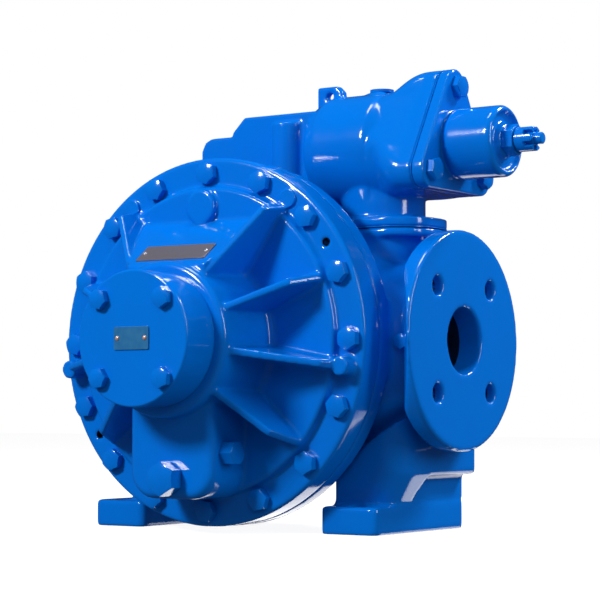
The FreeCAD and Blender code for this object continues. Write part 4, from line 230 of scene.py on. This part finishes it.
# Drawn aluminium: two pale dots on the name plate
RIVET = Finish("drawn_aluminium_rivet", "#C9C9CE", "#B4B4BA", 0.3, metallic=0.9)
# Turned bronze: warm yellow-brown metal that sets the cylinder's bush off from iron and steel
BRONZE = Finish("turned_bronze", "#B07A3C", "#9A6A34", 0.3, metallic=1.0)
# Machined grey iron: dull dark metal. The cutter's marks are drawn as a grain of 1.6 mm, coarser than
# they are, so that they show
IRON = Finish("machined_grey_iron", "#55565A", "#616266", 0.45, metallic=0.9, grain_size=1.6,
              grain_height=0.04)
# Bare bored iron in a casting, darkened to nearly black with the paint's blue in it: painted shade, so that
# a hole looks deep
BORE_SHADE_IRON = Finish("bare_iron_with_painted_bore_shade", "#0A1A30", "#0C2040", 0.4, metallic=0.2, grain_size=1.6,
                   grain_height=0.03)
# Turned bright steel: clear reflections, and edges broken by half a millimetre
STEEL = Finish("turned_bright_steel", "#B9BBBE", "#A9ABAE", 0.25, metallic=1.0, edge_radius=0.5)
# Matt studio card, lit from below: it stays pale out to the horizon and keeps a faint shadow
STUDIO_CARD = Finish("matt_white_studio_card", "#7C7D7E", "#808081", 0.9, patch_size=400.0, glow=0.93)

# Finish of each material slot. Only the gaskets' edges show, and they were sprayed over in place
FINISHES = {
    "blue_painted_casting": BLUE_TURNED,
    "blue_painted_fastener": BLUE_BOLT,
    "black_rubber": BLACK,
    "grey_gasket": BLUE_BOLT,
    "plate_metal": NAME_PLATE,
    "bronze": BRONZE,
    "cast_iron_bare": IRON,
    "bright_steel": STEEL,
}

# Steel pieces that were painted over together with the castings
PAINTED_OVER = ("lock_nut", "adjusting_screw", "neck_screws")


class Direction(Enum):
    """Way that the head of a bolt, plug or rivet points."""

    FRONT = (0.0, -1.0, 0.0)
    REAR = (0.0, 1.0, 0.0)
    RIGHT = (1.0, 0.0, 0.0)
    LEFT = (-1.0, 0.0, 0.0)
    UP = (0.0, 0.0, 1.0)

    def turn(self) -> Matrix:
        """Rotation from straight up to this way."""
        upright = Vector(Direction.UP.value)
        return upright.rotation_difference(Vector(self.value)).to_matrix().to_4x4()


@dataclass
class PaintShop:
    """Makes each finish once and puts finished pieces on the pump."""

    made: dict[str, bpy.types.Material] = field(default_factory=dict)

    def material(self, finish: Finish) -> bpy.types.Material:
        """Give the finish's material, made on first use.

        Args:
            finish: The finish.

        Returns:
            Its material.
        """
        if finish.name not in self.made:
            self.made[finish.name] = finish.make()
        return self.made[finish.name]

    def place(self, bm: bmesh.types.BMesh, name: str, finish: Finish, body: str, slot: str,
              nodes: tuple[str, ...] = (), sharp: float = CREASED) -> bpy.types.Object:
        """Turn a bmesh into a dressed piece that rides on a body.

        Args:
            bm: The finished shape, freed here.
            name: The piece's name.
            finish: Its finish.
            body: The body that it rides on.
            slot: The record's material slot; not used.
            nodes: The nodes that it stands for.
            sharp: Angle in degrees above which an edge stays sharp.

        Returns:
            The new object.
        """
        for face in bm.faces:
            face.smooth = True
        for edge in bm.edges:
            folded = edge.calc_face_angle(0.0)
            edge.smooth = len(edge.link_faces) == 2 and folded < math.radians(sharp)
        mesh = bpy.data.meshes.new(name)
        bm.to_mesh(mesh)
        bm.free()
        piece = bpy.data.objects.new(name, mesh)
        bpy.context.scene.collection.objects.link(piece)
        mesh.materials.append(self.material(finish))
        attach(piece, body)
        if nodes:
            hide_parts(*nodes)
        LOG.info("placed %s with %d faces", name, len(mesh.polygons))
        return piece


def merged_copy(node: str) -> bmesh.types.BMesh:
    """Copy a node's mesh and join its loose triangles.

    Args:
        node: The node's name.

    Returns:
        The joined copy.
    """
    bm = bmesh.new()
    bm.from_mesh(frame["nodes"][node].data)
    bmesh.ops.remove_doubles(bm, verts=bm.verts[:], dist=0.005 * MM)
    return bm


def stamp(bm: bmesh.types.BMesh, shape: bpy.types.Mesh, matrix: Matrix) -> None:
    """Add a copy of a small shape to a bmesh.

    Args:
        bm: The bmesh that grows.
        shape: The shape to copy.
        matrix: Where the copy goes.
    """
    first = len(bm.verts)
    bm.from_mesh(shape)
    bm.verts.ensure_lookup_table()
    bmesh.ops.transform(bm, matrix=matrix, verts=bm.verts[first:])


def on_circle(radius: float, angle: float, height: float) -> tuple[float, float]:
    """Place on an upright circle about a level axis.

    Args:
        radius: Radius of the circle.
        angle: Angle in degrees, counted from the level towards straight up.
        height: Height of the axis.

    Returns:
        How far the place lies from the axis sideways, and its height.
    """
    turn = math.radians(angle)
    return radius * math.cos(turn), height + radius * math.sin(turn)


def ring(radius: float, count: int, start: float, level: float) -> list[Place]:
    """Evenly spaced places on a circle about the shaft.

    Args:
        radius: Radius of the circle.
        count: Number of places.
        start: Angle of the first place in degrees.
        level: Place of the circle along the shaft.

    Returns:
        The places.
    """
    places = []
    for number in range(count):
        across, up = on_circle(radius, start + 360.0 * number / count, SHAFT_HEIGHT)
        places.append((across, level, up))
    return places


@dataclass(frozen=True)
class FlareShoulder:
    """Gives the valve's flare a full shoulder in place of a straight cone."""

    start: float = 132.0
    shoulder: float = 146.0
    end: float = 179.0
    barrel_radius: float = 55.0
    fullness: float = 2.4
    neck_top: float = 312.0
    neck_fade: float = 14.0

    def __call__(self, spot: Vector) -> Vector:
        """Move one point of the valve body.

        Args:
            spot: The point, in metres.

        Returns:
            Where the point goes.
        """
        start, end, barrel = self.start * MM, self.end * MM, self.barrel_radius * MM
        if not start < spot.x < end:
            return spot
        out = Vector((spot.y, spot.z - VALVE_HEIGHT * MM))
        if out.length < barrel:
            return spot
        part = (spot.x - start) / (end - start)
        full = max(0.0, (spot.x - self.shoulder * MM) / (end - self.shoulder * MM))
        grown = barrel + (out.length - barrel) / part * (1.0 - (1.0 - full) ** self.fullness)
        above_neck = min(max((spot.z - self.neck_top * MM) / (self.neck_fade * MM), 0.0), 1.0)
        out = out.normalized() * (out.length + above_neck * (grown - out.length))
        return Vector((spot.x, out.x, VALVE_HEIGHT * MM + out.y))


@dataclass(frozen=True)
class PressedLugs:
    """Presses the cover's two upper lugs down to low pads."""

    angles: tuple[float, ...] = (55.0, 125.0)
    radius: float = 10.5
    kept_height: float = 0.18

    def __call__(self, spot: Vector) -> Vector:
        """Move one point of the front cover.

        Args:
            spot: The point, in metres.

        Returns:
            Where the point goes.
        """
        face = COVER_FACE * MM
        if spot.y > face:
            return spot
        for angle in self.angles:
            across, up = on_circle(COVER_BOLT_RADIUS, angle, SHAFT_HEIGHT)
            if math.hypot(spot.x - across * MM, spot.z - up * MM) < self.radius * MM:
                return Vector((spot.x, face + self.kept_height * (spot.y - face), spot.z))
        return spot


@dataclass(frozen=True)
class NoseDish:
    """Sinks a ring-shaped dish into the valve cap's nose."""

    lip: float = 258.5
    floor: float = 254.5
    inner_radius: float = 16.5
    outer_radius: float = 27.5

    def __call__(self, spot: Vector) -> Vector:
        """Move one point of the valve cap.

        Args:
            spot: The point, in metres.

        Returns:
            Where the point goes.
        """
        away = math.hypot(spot.y, spot.z - VALVE_HEIGHT * MM)
        if spot.x > self.lip * MM and self.inner_radius * MM < away < self.outer_radius * MM:
            return Vector((self.floor * MM, spot.y, spot.z))
        return spot


@dataclass
class Casting:
    """A sand casting: a node's shape with edges and corners rounded as a foundry leaves them."""

    node: str
    voxel: float
    rounds: int
    shapings: tuple[Shaping, ...] = ()
    most_triangles: int = 180000

    def build(self, shop: PaintShop) -> None:
        """Round the shape and dress it.

        Args:
            shop: The paint shop.
        """
        bm = merged_copy(self.node)
        name = f"{self.node}_casting"
        mesh = bpy.data.meshes.new(f"{name}_start")
        bm.to_mesh(mesh)
        bm.free()
        start = bpy.data.objects.new(f"{name}_start", mesh)
        bpy.context.scene.collection.objects.link(start)
        skin = start.modifiers.new("skin", "REMESH")
        skin.mode = "VOXEL"
        skin.voxel_size = self.voxel * MM
        bm = self.evaluated(start)
        for shaping in self.shapings:
            for corner in bm.verts:
                corner.co = shaping(corner.co)
        for _ in range(self.rounds):
            bmesh.ops.smooth_vert(bm, verts=bm.verts[:], factor=0.5, use_axis_x=True, use_axis_y=True,
                                  use_axis_z=True)
        start.modifiers.remove(skin)
        bm.to_mesh(mesh)
        triangles = sum(len(face.verts) - 2 for face in bm.faces)
        bm.free()
        if triangles > self.most_triangles:
            thin = start.modifiers.new("thin", "DECIMATE")
            thin.ratio = self.most_triangles / triangles
        bm = self.evaluated(start)
        bpy.data.objects.remove(start)
        shop.place(bm, name, BLUE, "body", "blue_painted_casting", (self.node,), sharp=ALL_SMOOTH)

    @staticmethod
    def evaluated(source: bpy.types.Object) -> bmesh.types.BMesh:
        """Give the object's mesh with its modifiers applied.

        Args:
            source: The object.

        Returns:
            The evaluated shape.
        """
        graph = bpy.context.evaluated_depsgraph_get()
        graph.update()
        bm = bmesh.new()
        bm.from_object(source, graph)
        return bm


@dataclass
class BoreShadeSkins:
    """The unpainted insides of the tapped holes, the bolt holes and the ports, as thin skins whose
    near-black colour is painted shade.
    """

    jack_angles: tuple[float, ...] = (33.75, 213.75)
    jack_mouth: float = -114.5
    jack_radius: float = 3.8
    jack_depth: float = 20.0
    ports: tuple[tuple[float, Direction], ...] = ((214.0, Direction.LEFT), (-180.0, Direction.RIGHT))
    port_radius: float = 31.15
    port_inset: float = 24.0
    port_depth: float = 50.0
    bolt_angles: tuple[float, ...] = (45.0, 135.0, 225.0, 315.0)
    bolt_circle: float = 69.85
    bolt_radius: float = 8.8
    bolt_inset: float = 9.0
    bolt_depth: float = 9.0
    skin: float = 0.2

    def build(self, shop: PaintShop) -> None:
        """Line each hole.

        Args:
            shop: The paint shop.
        """
        # The skins' near-black colour is painted shade over bare iron
        bm = bmesh.new()
        for angle in self.jack_angles:
            across, up = on_circle(COVER_BOLT_RADIUS, angle, SHAFT_HEIGHT)
            self.sleeve(bm, (across, self.jack_mouth, up), self.jack_radius, self.jack_depth,
                        Direction.REAR)
        shop.place(bm, "jack_hole_painted_shade", BORE_SHADE_IRON, "body", "cast_iron_bare", sharp=SLEEVE_RIMS)
        bm = bmesh.new()
        for face, inward in self.ports:
            step = inward.value[0]
            self.sleeve(bm, (face + self.port_inset * step, 0.0, SHAFT_HEIGHT), self.port_radius,
                        self.port_depth, inward)
            for angle in self.bolt_angles:
                along, up = on_circle(self.bolt_circle, angle, SHAFT_HEIGHT)
                self.sleeve(bm, (face + self.bolt_inset * step, along, up), self.bolt_radius,
                            self.bolt_depth, inward)
        shop.place(bm, "port_hole_painted_shade", BORE_SHADE_IRON, "body", "cast_iron_bare", sharp=SLEEVE_RIMS)

    def sleeve(self, bm: bmesh.types.BMesh, mouth: Place, radius: float, depth: float,
               inward: Direction) -> None:
        """Add one thin open sleeve that starts at a hole's mouth.

        Args:
            bm: The bmesh that grows.
            mouth: The middle of the sleeve's mouth.
            radius: Outer radius.
            depth: Length.
            inward: The way into the hole.
        """
        place = Matrix.Translation(Vector(mouth) * MM) @ inward.turn()
        grown = bmesh.ops.create_circle(bm, cap_ends=False, segments=48, radius=radius * MM,
                                        matrix=place)
        rim = list({edge for corner in grown["verts"] for edge in corner.link_edges})
        moved = bmesh.ops.extrude_edge_only(bm, edges=rim)["geom"]
        verts = [item for item in moved if isinstance(item, bmesh.types.BMVert)]
        bmesh.ops.translate(bm, vec=Vector(inward.value) * depth * MM, verts=verts)
        faces = [item for item in moved if isinstance(item, bmesh.types.BMFace)]
        bmesh.ops.recalc_face_normals(bm, faces=faces)
        bmesh.ops.solidify(bm, geom=faces, thickness=self.skin * MM)


@dataclass
class HexBolts:
    """A set of equal hexagon heads, each with its cone chamfer and its shank.

    A set whose name is no node of the frame is a small fastener that only this script has.
    """

    name: str
    flats: float
    height: float
    shank_radius: float
    shank_length: float
    direction: Direction
    places: list[Place]
    cuts_per_side: int = 5
    chamfer_share: float = 0.465
    chamfer_angle: float = 30.0
    turn_per_bolt: float = 17.0

    def shape(self) -> bpy.types.Mesh:
        """Make one bolt that stands on the origin with its head up.

        Returns:
            The bolt's mesh.
        """
        bm = bmesh.new()
        bmesh.ops.create_circle(bm, cap_ends=False, segments=6, radius=self.flats / math.sqrt(3.0) * MM)
        bmesh.ops.subdivide_edges(bm, edges=bm.edges[:], cuts=self.cuts_per_side)
        foot = bmesh.ops.contextual_create(bm, geom=bm.edges[:])["faces"]
        flat_radius = self.chamfer_share * self.flats * MM
        slope = math.tan(math.radians(self.chamfer_angle))
        top = self.raised(bm, foot)
        for corner in top.verts:
            corner.co.z = self.height * MM - (corner.co.xy.length - flat_radius) * slope
        disc = self.raised(bm, [top])
        for corner in disc.verts:
            spot = corner.co.xy.normalized() * flat_radius
            corner.co = (spot.x, spot.y, self.height * MM)
        sunk = Matrix.Translation((0.0, 0.0, -0.5 * self.shank_length * MM))
        bmesh.ops.create_cone(bm, cap_ends=True, segments=24, radius1=self.shank_radius * MM,
                              radius2=self.shank_radius * MM, depth=self.shank_length * MM, matrix=sunk)
        bmesh.ops.recalc_face_normals(bm, faces=bm.faces[:])
        mesh = bpy.data.meshes.new(f"{self.name}_one")
        bm.to_mesh(mesh)
        bm.free()
        return mesh

    @staticmethod
    def raised(bm: bmesh.types.BMesh, faces: list[bmesh.types.BMFace]) -> bmesh.types.BMFace:
        """Extrude a face in place and give the new face.

        Args:
            bm: The bmesh.
            faces: The face to extrude.

        Returns:
            The extruded face.
        """
        grown = bmesh.ops.extrude_face_region(bm, geom=faces)["geom"]
        return next(item for item in grown if isinstance(item, bmesh.types.BMFace))

    def build(self, shop: PaintShop) -> None:
        """Set every bolt in its place, each turned further than the last, as tightened bolts stand.

        Args:
            shop: The paint shop.
        """
        one = self.shape()
        bm = bmesh.new()
        for number, place in enumerate(self.places):
            own = Matrix.Rotation(math.radians(self.turn_per_bolt * number), 4, "Z")
            spot = Matrix.Translation(Vector(place) * MM)
            stamp(bm, one, spot @ self.direction.turn() @ own)
        bpy.data.meshes.remove(one)
        nodes = (self.name,) if self.name in frame["nodes"] else ()
        shop.place(bm, f"{self.name}_painted", BLUE_BOLT, "body", "blue_painted_fastener", nodes)


@dataclass
class Fasteners:
    """The painted hexagon heads on the pump: its bolts, drain plug, side plug and neck plug."""

    cap_bolt_radius: float = 51.0
    cap_face: float = -231.0
    rear_cap_bolt_radius: float = 58.0
    rear_cap_face: float = 156.0
    valve_bolt_radius: float = 55.0
    valve_bolt_angles: tuple[float, ...] = (90.0, 210.0, 330.0)
    valve_cap_face: float = 206.0
    base_across: tuple[float, ...] = (-89.0, -6.0)
    base_along: tuple[float, ...] = (-55.0, 55.0)
    base_face: float = 332.0
    drain_plug_seat: Place = (0.0, -175.0, SHAFT_HEIGHT - 128.0)
    side_plug_seat: Place = (48.0, -152.0, SHAFT_HEIGHT - 104.0)
    neck_plug_seat: Place = (187.5, -66.0, SHAFT_HEIGHT - 2.0)

    def valve_places(self) -> list[Place]:
        """Places of the valve cap's bolts on its three-cornered flange."""
        spots = [on_circle(self.valve_bolt_radius, turn, VALVE_HEIGHT) for turn in self.valve_bolt_angles]
        return [(self.valve_cap_face, along, up) for along, up in spots]

    def base_places(self) -> list[Place]:
        """Places of the four bolts that hold the valve's base."""
        return [(across, along, self.base_face) for across in self.base_across for along in self.base_along]

    def sets(self) -> list[HexBolts]:
        """List the sets of fasteners.

        Returns:
            The sets with their places.
        """
        return [
            HexBolts("cover_bolts", flats=19.0, height=8.0, shank_radius=6.0, shank_length=43.0,
                     direction=Direction.FRONT, places=ring(COVER_BOLT_RADIUS, 16, 0.0, COVER_FACE)),
            HexBolts("cap_bolts", flats=17.0, height=7.0, shank_radius=5.0, shank_length=61.0,
                     direction=Direction.FRONT, places=ring(self.cap_bolt_radius, 4, 45.0, self.cap_face)),
            HexBolts("rear_cap_bolts", flats=13.0, height=5.0, shank_radius=4.0, shank_length=28.0,
                     direction=Direction.REAR,
                     places=ring(self.rear_cap_bolt_radius, 6, 90.0, self.rear_cap_face)),
            HexBolts("valve_cap_bolts", flats=19.0, height=8.0, shank_radius=6.0, shank_length=33.0,
                     direction=Direction.RIGHT, places=self.valve_places()),
            HexBolts("base_bolts", flats=19.0, height=8.0, shank_radius=6.0, shank_length=33.0,
                     direction=Direction.UP, places=self.base_places()),
            HexBolts("drain_plug", flats=28.0, height=16.0, shank_radius=12.0, shank_length=15.9,
                     direction=Direction.FRONT, places=[self.drain_plug_seat]),
            HexBolts("side_plug", flats=20.0, height=14.0, shank_radius=7.0, shank_length=13.9,
                     direction=Direction.RIGHT, places=[self.side_plug_seat]),
            HexBolts("neck_plug", flats=13.0, height=9.0, shank_radius=4.0, shank_length=8.0,
                     direction=Direction.FRONT, places=[self.neck_plug_seat]),
        ]

    def build(self, shop: PaintShop) -> None:
        """Set all the fasteners.

        Args:
            shop: The paint shop.
        """
        for bolts in self.sets():
            bolts.build(shop)


@dataclass
class RivetedPlate:
    """A thin plate with softened edges, held by a rivet at each end."""

    node: str
    length: float
    width: float
    tilt: float
    finish: Finish
    rivet: Finish
    thickness: float = 1.2
    corner_radius: float = 1.5
    rim_radius: float = 0.25
    rivet_radius: float = 2.3
    rivet_inset: float = 4.2
    rivet_flatness: float = 0.55

    def build(self, shop: PaintShop) -> None:
        """Make the plate and its rivets on the node's place.

        Args:
            shop: The paint shop.
        """
        low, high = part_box(self.node)
        middle = (Vector(low) + Vector(high)) / 2.0
        turn = Matrix.Translation(middle) @ Matrix.Rotation(math.radians(self.tilt), 4, "X")
        bm = bmesh.new()
        bmesh.ops.create_cube(bm, size=1.0)
        size = Vector((self.length, self.width, self.thickness)) * MM
        bmesh.ops.scale(bm, vec=size, verts=bm.verts[:])
        upright = [edge for edge in bm.edges if edge.verts[0].co.z * edge.verts[1].co.z < 0.0]
        bmesh.ops.bevel(bm, geom=upright, offset=self.corner_radius * MM, offset_type="OFFSET",
                        segments=4, profile=0.5, affect="EDGES", material=-1)
        rim = [edge for edge in bm.edges if min(corner.co.z for corner in edge.verts) > 0.0]
        bmesh.ops.bevel(bm, geom=rim, offset=self.rim_radius * MM, offset_type="OFFSET", segments=2,
                        profile=0.5, affect="EDGES", material=-1)
        bmesh.ops.transform(bm, matrix=turn, verts=bm.verts[:])
        shop.place(bm, f"{self.node}_bare", self.finish, "body", "plate_metal", (self.node,),
                   sharp=FLAT_SHADED)
        self.build_rivets(shop, turn)

    def build_rivets(self, shop: PaintShop, turn: Matrix) -> None:
        """Set the two rivet heads on the plate.

        Args:
            shop: The paint shop.
            turn: The plate's place and tilt.
        """
        heads = bmesh.new()
        reach = (self.length / 2.0 - self.rivet_inset) * MM
        flat = Matrix.Diagonal((1.0, 1.0, self.rivet_flatness, 1.0))
        for side in (-1.0, 1.0):
            spot = Matrix.Translation((side * reach, 0.0, self.thickness / 2.0 * MM))
            bmesh.ops.create_uvsphere(heads, u_segments=20, v_segments=12,
                                      radius=self.rivet_radius * MM, matrix=turn @ spot @ flat)
        shop.place(heads, f"{self.node}_rivets", self.rivet, "body", "plate_metal", sharp=ALL_SMOOTH)


@dataclass
class ReliefSpring:
    """The relief valve's coil spring, which rides on the lifting poppet."""

    node: str = "valve_spring"
    lift: float = 10.0

    def build(self, shop: PaintShop) -> None:
        """Copy the spring and let it ride on the poppet.

        Args:
            shop: The paint shop.
        """
        piece = shop.place(merged_copy(self.node), f"{self.node}_coil", STEEL, "poppet",
                           "bright_steel", (self.node,))
        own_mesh(piece)


@dataclass(frozen=True)
class Softbox:
    """A rectangular soft light that faces the pump, with its place and size in metres."""

    name: str
    place: Place
    size: tuple[float, float]
    watts: float
    mirrored: bool = True
    lit: bool = True

    def hang(self, target: Vector) -> None:
        """Hang the light, seen by the paint where mirrored and adding to the even light where lit.

        Args:
            target: The point that it faces, in metres.
        """
        data = bpy.data.lights.new(self.name, "AREA")
        data.shape = "RECTANGLE"
        data.size, data.size_y = self.size
        data.energy = self.watts
        lamp = bpy.data.objects.new(self.name, data)
        lamp.location = self.place
        lamp.visible_glossy = self.mirrored
        lamp.visible_diffuse = self.lit
        lamp.visible_camera = False
        lamp.rotation_euler = (target - Vector(self.place)).to_track_quat("-Z", "Y").to_euler()
        bpy.context.scene.collection.objects.link(lamp)


@dataclass
class Studio:
    """The pale floor, the soft lights and the camera.

    Lens and sensor are in millimetres, angles in degrees, and places and the floor in metres. The
    three levels of the surroundings are what the camera, the even light and the reflections see.
    """

    lens: float = 123.9
    sensor: float = 36.0
    eye: Place = (1.1689, -1.6883, 0.1155)
    yaw: float = 34.07
    pitch: float = 3.04
    farthest: float = 50.0
    floor_size: float = 6.0
    target: Place = (0.0, 0.0, 0.2)
    background: float = 1.0
    ambient: float = 0.2
    mirrored: float = 0.025
    softboxes: tuple[Softbox, ...] = (
        Softbox("key_softbox", (-0.8, -2.3, 1.6), (0.5, 0.5), 66.0),
        Softbox("top_softbox", (-0.1, -0.3, 2.2), (0.5, 0.7), 15.0),
        Softbox("right_softbox", (2.1, 0.0, 0.9), (0.4, 1.2), 16.0),
        Softbox("rear_softbox", (1.2, 1.4, 1.8), (0.5, 0.5), 52.0),
        Softbox("camera_fill", (1.4, -1.9, 1.0), (0.8, 0.8), 5.0, mirrored=False),
        Softbox("bench_glow", (-0.1, 1.1, -0.58), (1.7, 0.45), 6.5, lit=False),
    )

    def camera(self) -> None:
        """Put the camera where the photograph was taken from."""
        data = bpy.data.cameras.new("camera")
        data.lens = self.lens
        data.sensor_width = self.sensor
        data.clip_end = self.farthest
        camera = bpy.data.objects.new("camera", data)
        camera.location = self.eye
        camera.rotation_euler = (math.radians(90.0 + self.pitch), 0.0, math.radians(self.yaw))
        bpy.context.scene.collection.objects.link(camera)
        bpy.context.scene.camera = camera

    def floor(self) -> None:
        """Lay the pale floor under the feet."""
        bm = bmesh.new()
        bmesh.ops.create_grid(bm, x_segments=1, y_segments=1, size=self.floor_size)
        mesh = bpy.data.meshes.new("studio_floor")
        bm.to_mesh(mesh)
        bm.free()
        piece = bpy.data.objects.new("studio_floor", mesh)
        bpy.context.scene.collection.objects.link(piece)
        piece.data.materials.append(STUDIO_CARD.make())
        piece.visible_glossy = False
        piece.visible_diffuse = False

    def surroundings(self) -> None:
        """Set the white background, the even light and the dim reflections."""
        world = bpy.data.worlds.new("white_studio")
        world.use_nodes = True
        tree = world.node_tree
        tree.nodes.clear()
        rays = add_node(tree, "ShaderNodeLightPath")
        around = add_node(
            tree, "ShaderNodeMapRange",
            inputs={"Value": rays.outputs["Is Glossy Ray"], "To Min": self.ambient,
                    "To Max": self.mirrored},
        )
        level = add_node(
            tree, "ShaderNodeMapRange",
            inputs={"Value": rays.outputs["Is Camera Ray"], "To Min": around.outputs["Result"],
                    "To Max": self.background},
        )
        glow = add_node(
            tree, "ShaderNodeBackground",
            inputs={"Color": WHITE, "Strength": level.outputs["Result"]},
        )
        add_node(tree, "ShaderNodeOutputWorld", inputs={"Surface": glow.outputs["Background"]})
        bpy.context.scene.world = world
        bpy.context.scene.view_settings.view_transform = "Standard"

    def build(self) -> None:
        """Set up the whole studio."""
        self.camera()
        self.floor()
        for softbox in self.softboxes:
            softbox.hang(Vector(self.target))
        self.surroundings()


def dress_nodes(shop: PaintShop) -> None:
    """Give each node of the frame the finish of its material slot.

    Args:
        shop: The paint shop.
    """
    slots = {part["node"]: part["material_slot"] for part in frame["record"]["subparts"]}
    for name, node in frame["nodes"].items():
        finish = BLUE_BOLT if name in PAINTED_OVER else FINISHES[slots[name]]
        node.data.materials.clear()
        node.data.materials.append(shop.material(finish))
        LOG.info("dressed %s", name)


def main() -> None:
    """Build the studio and the pump's pieces in order."""
    logging.basicConfig(level=logging.INFO)
    Studio().build()
    shop = PaintShop()
    dress_nodes(shop)
    Casting("front_cover", voxel=1.5, rounds=4, shapings=(PressedLugs(),)).build(shop)
    Casting("pump_body", voxel=2.2, rounds=4).build(shop)
    Casting("valve_body", voxel=1.4, rounds=5, shapings=(FlareShoulder(),)).build(shop)
    Casting("valve_cap", voxel=1.2, rounds=4, shapings=(NoseDish(),)).build(shop)
    BoreShadeSkins().build(shop)
    ReliefSpring().build(shop)
    Fasteners().build(shop)
    RivetedPlate("cap_plate", length=40.0, width=21.0, tilt=90.0, finish=CAP_PLATE,
                 rivet=COPPER).build(shop)
    RivetedPlate("name_plate", length=80.0, width=24.0, tilt=37.0, finish=NAME_PLATE,
                 rivet=RIVET).build(shop)


if __name__ == "__main__":
    main()
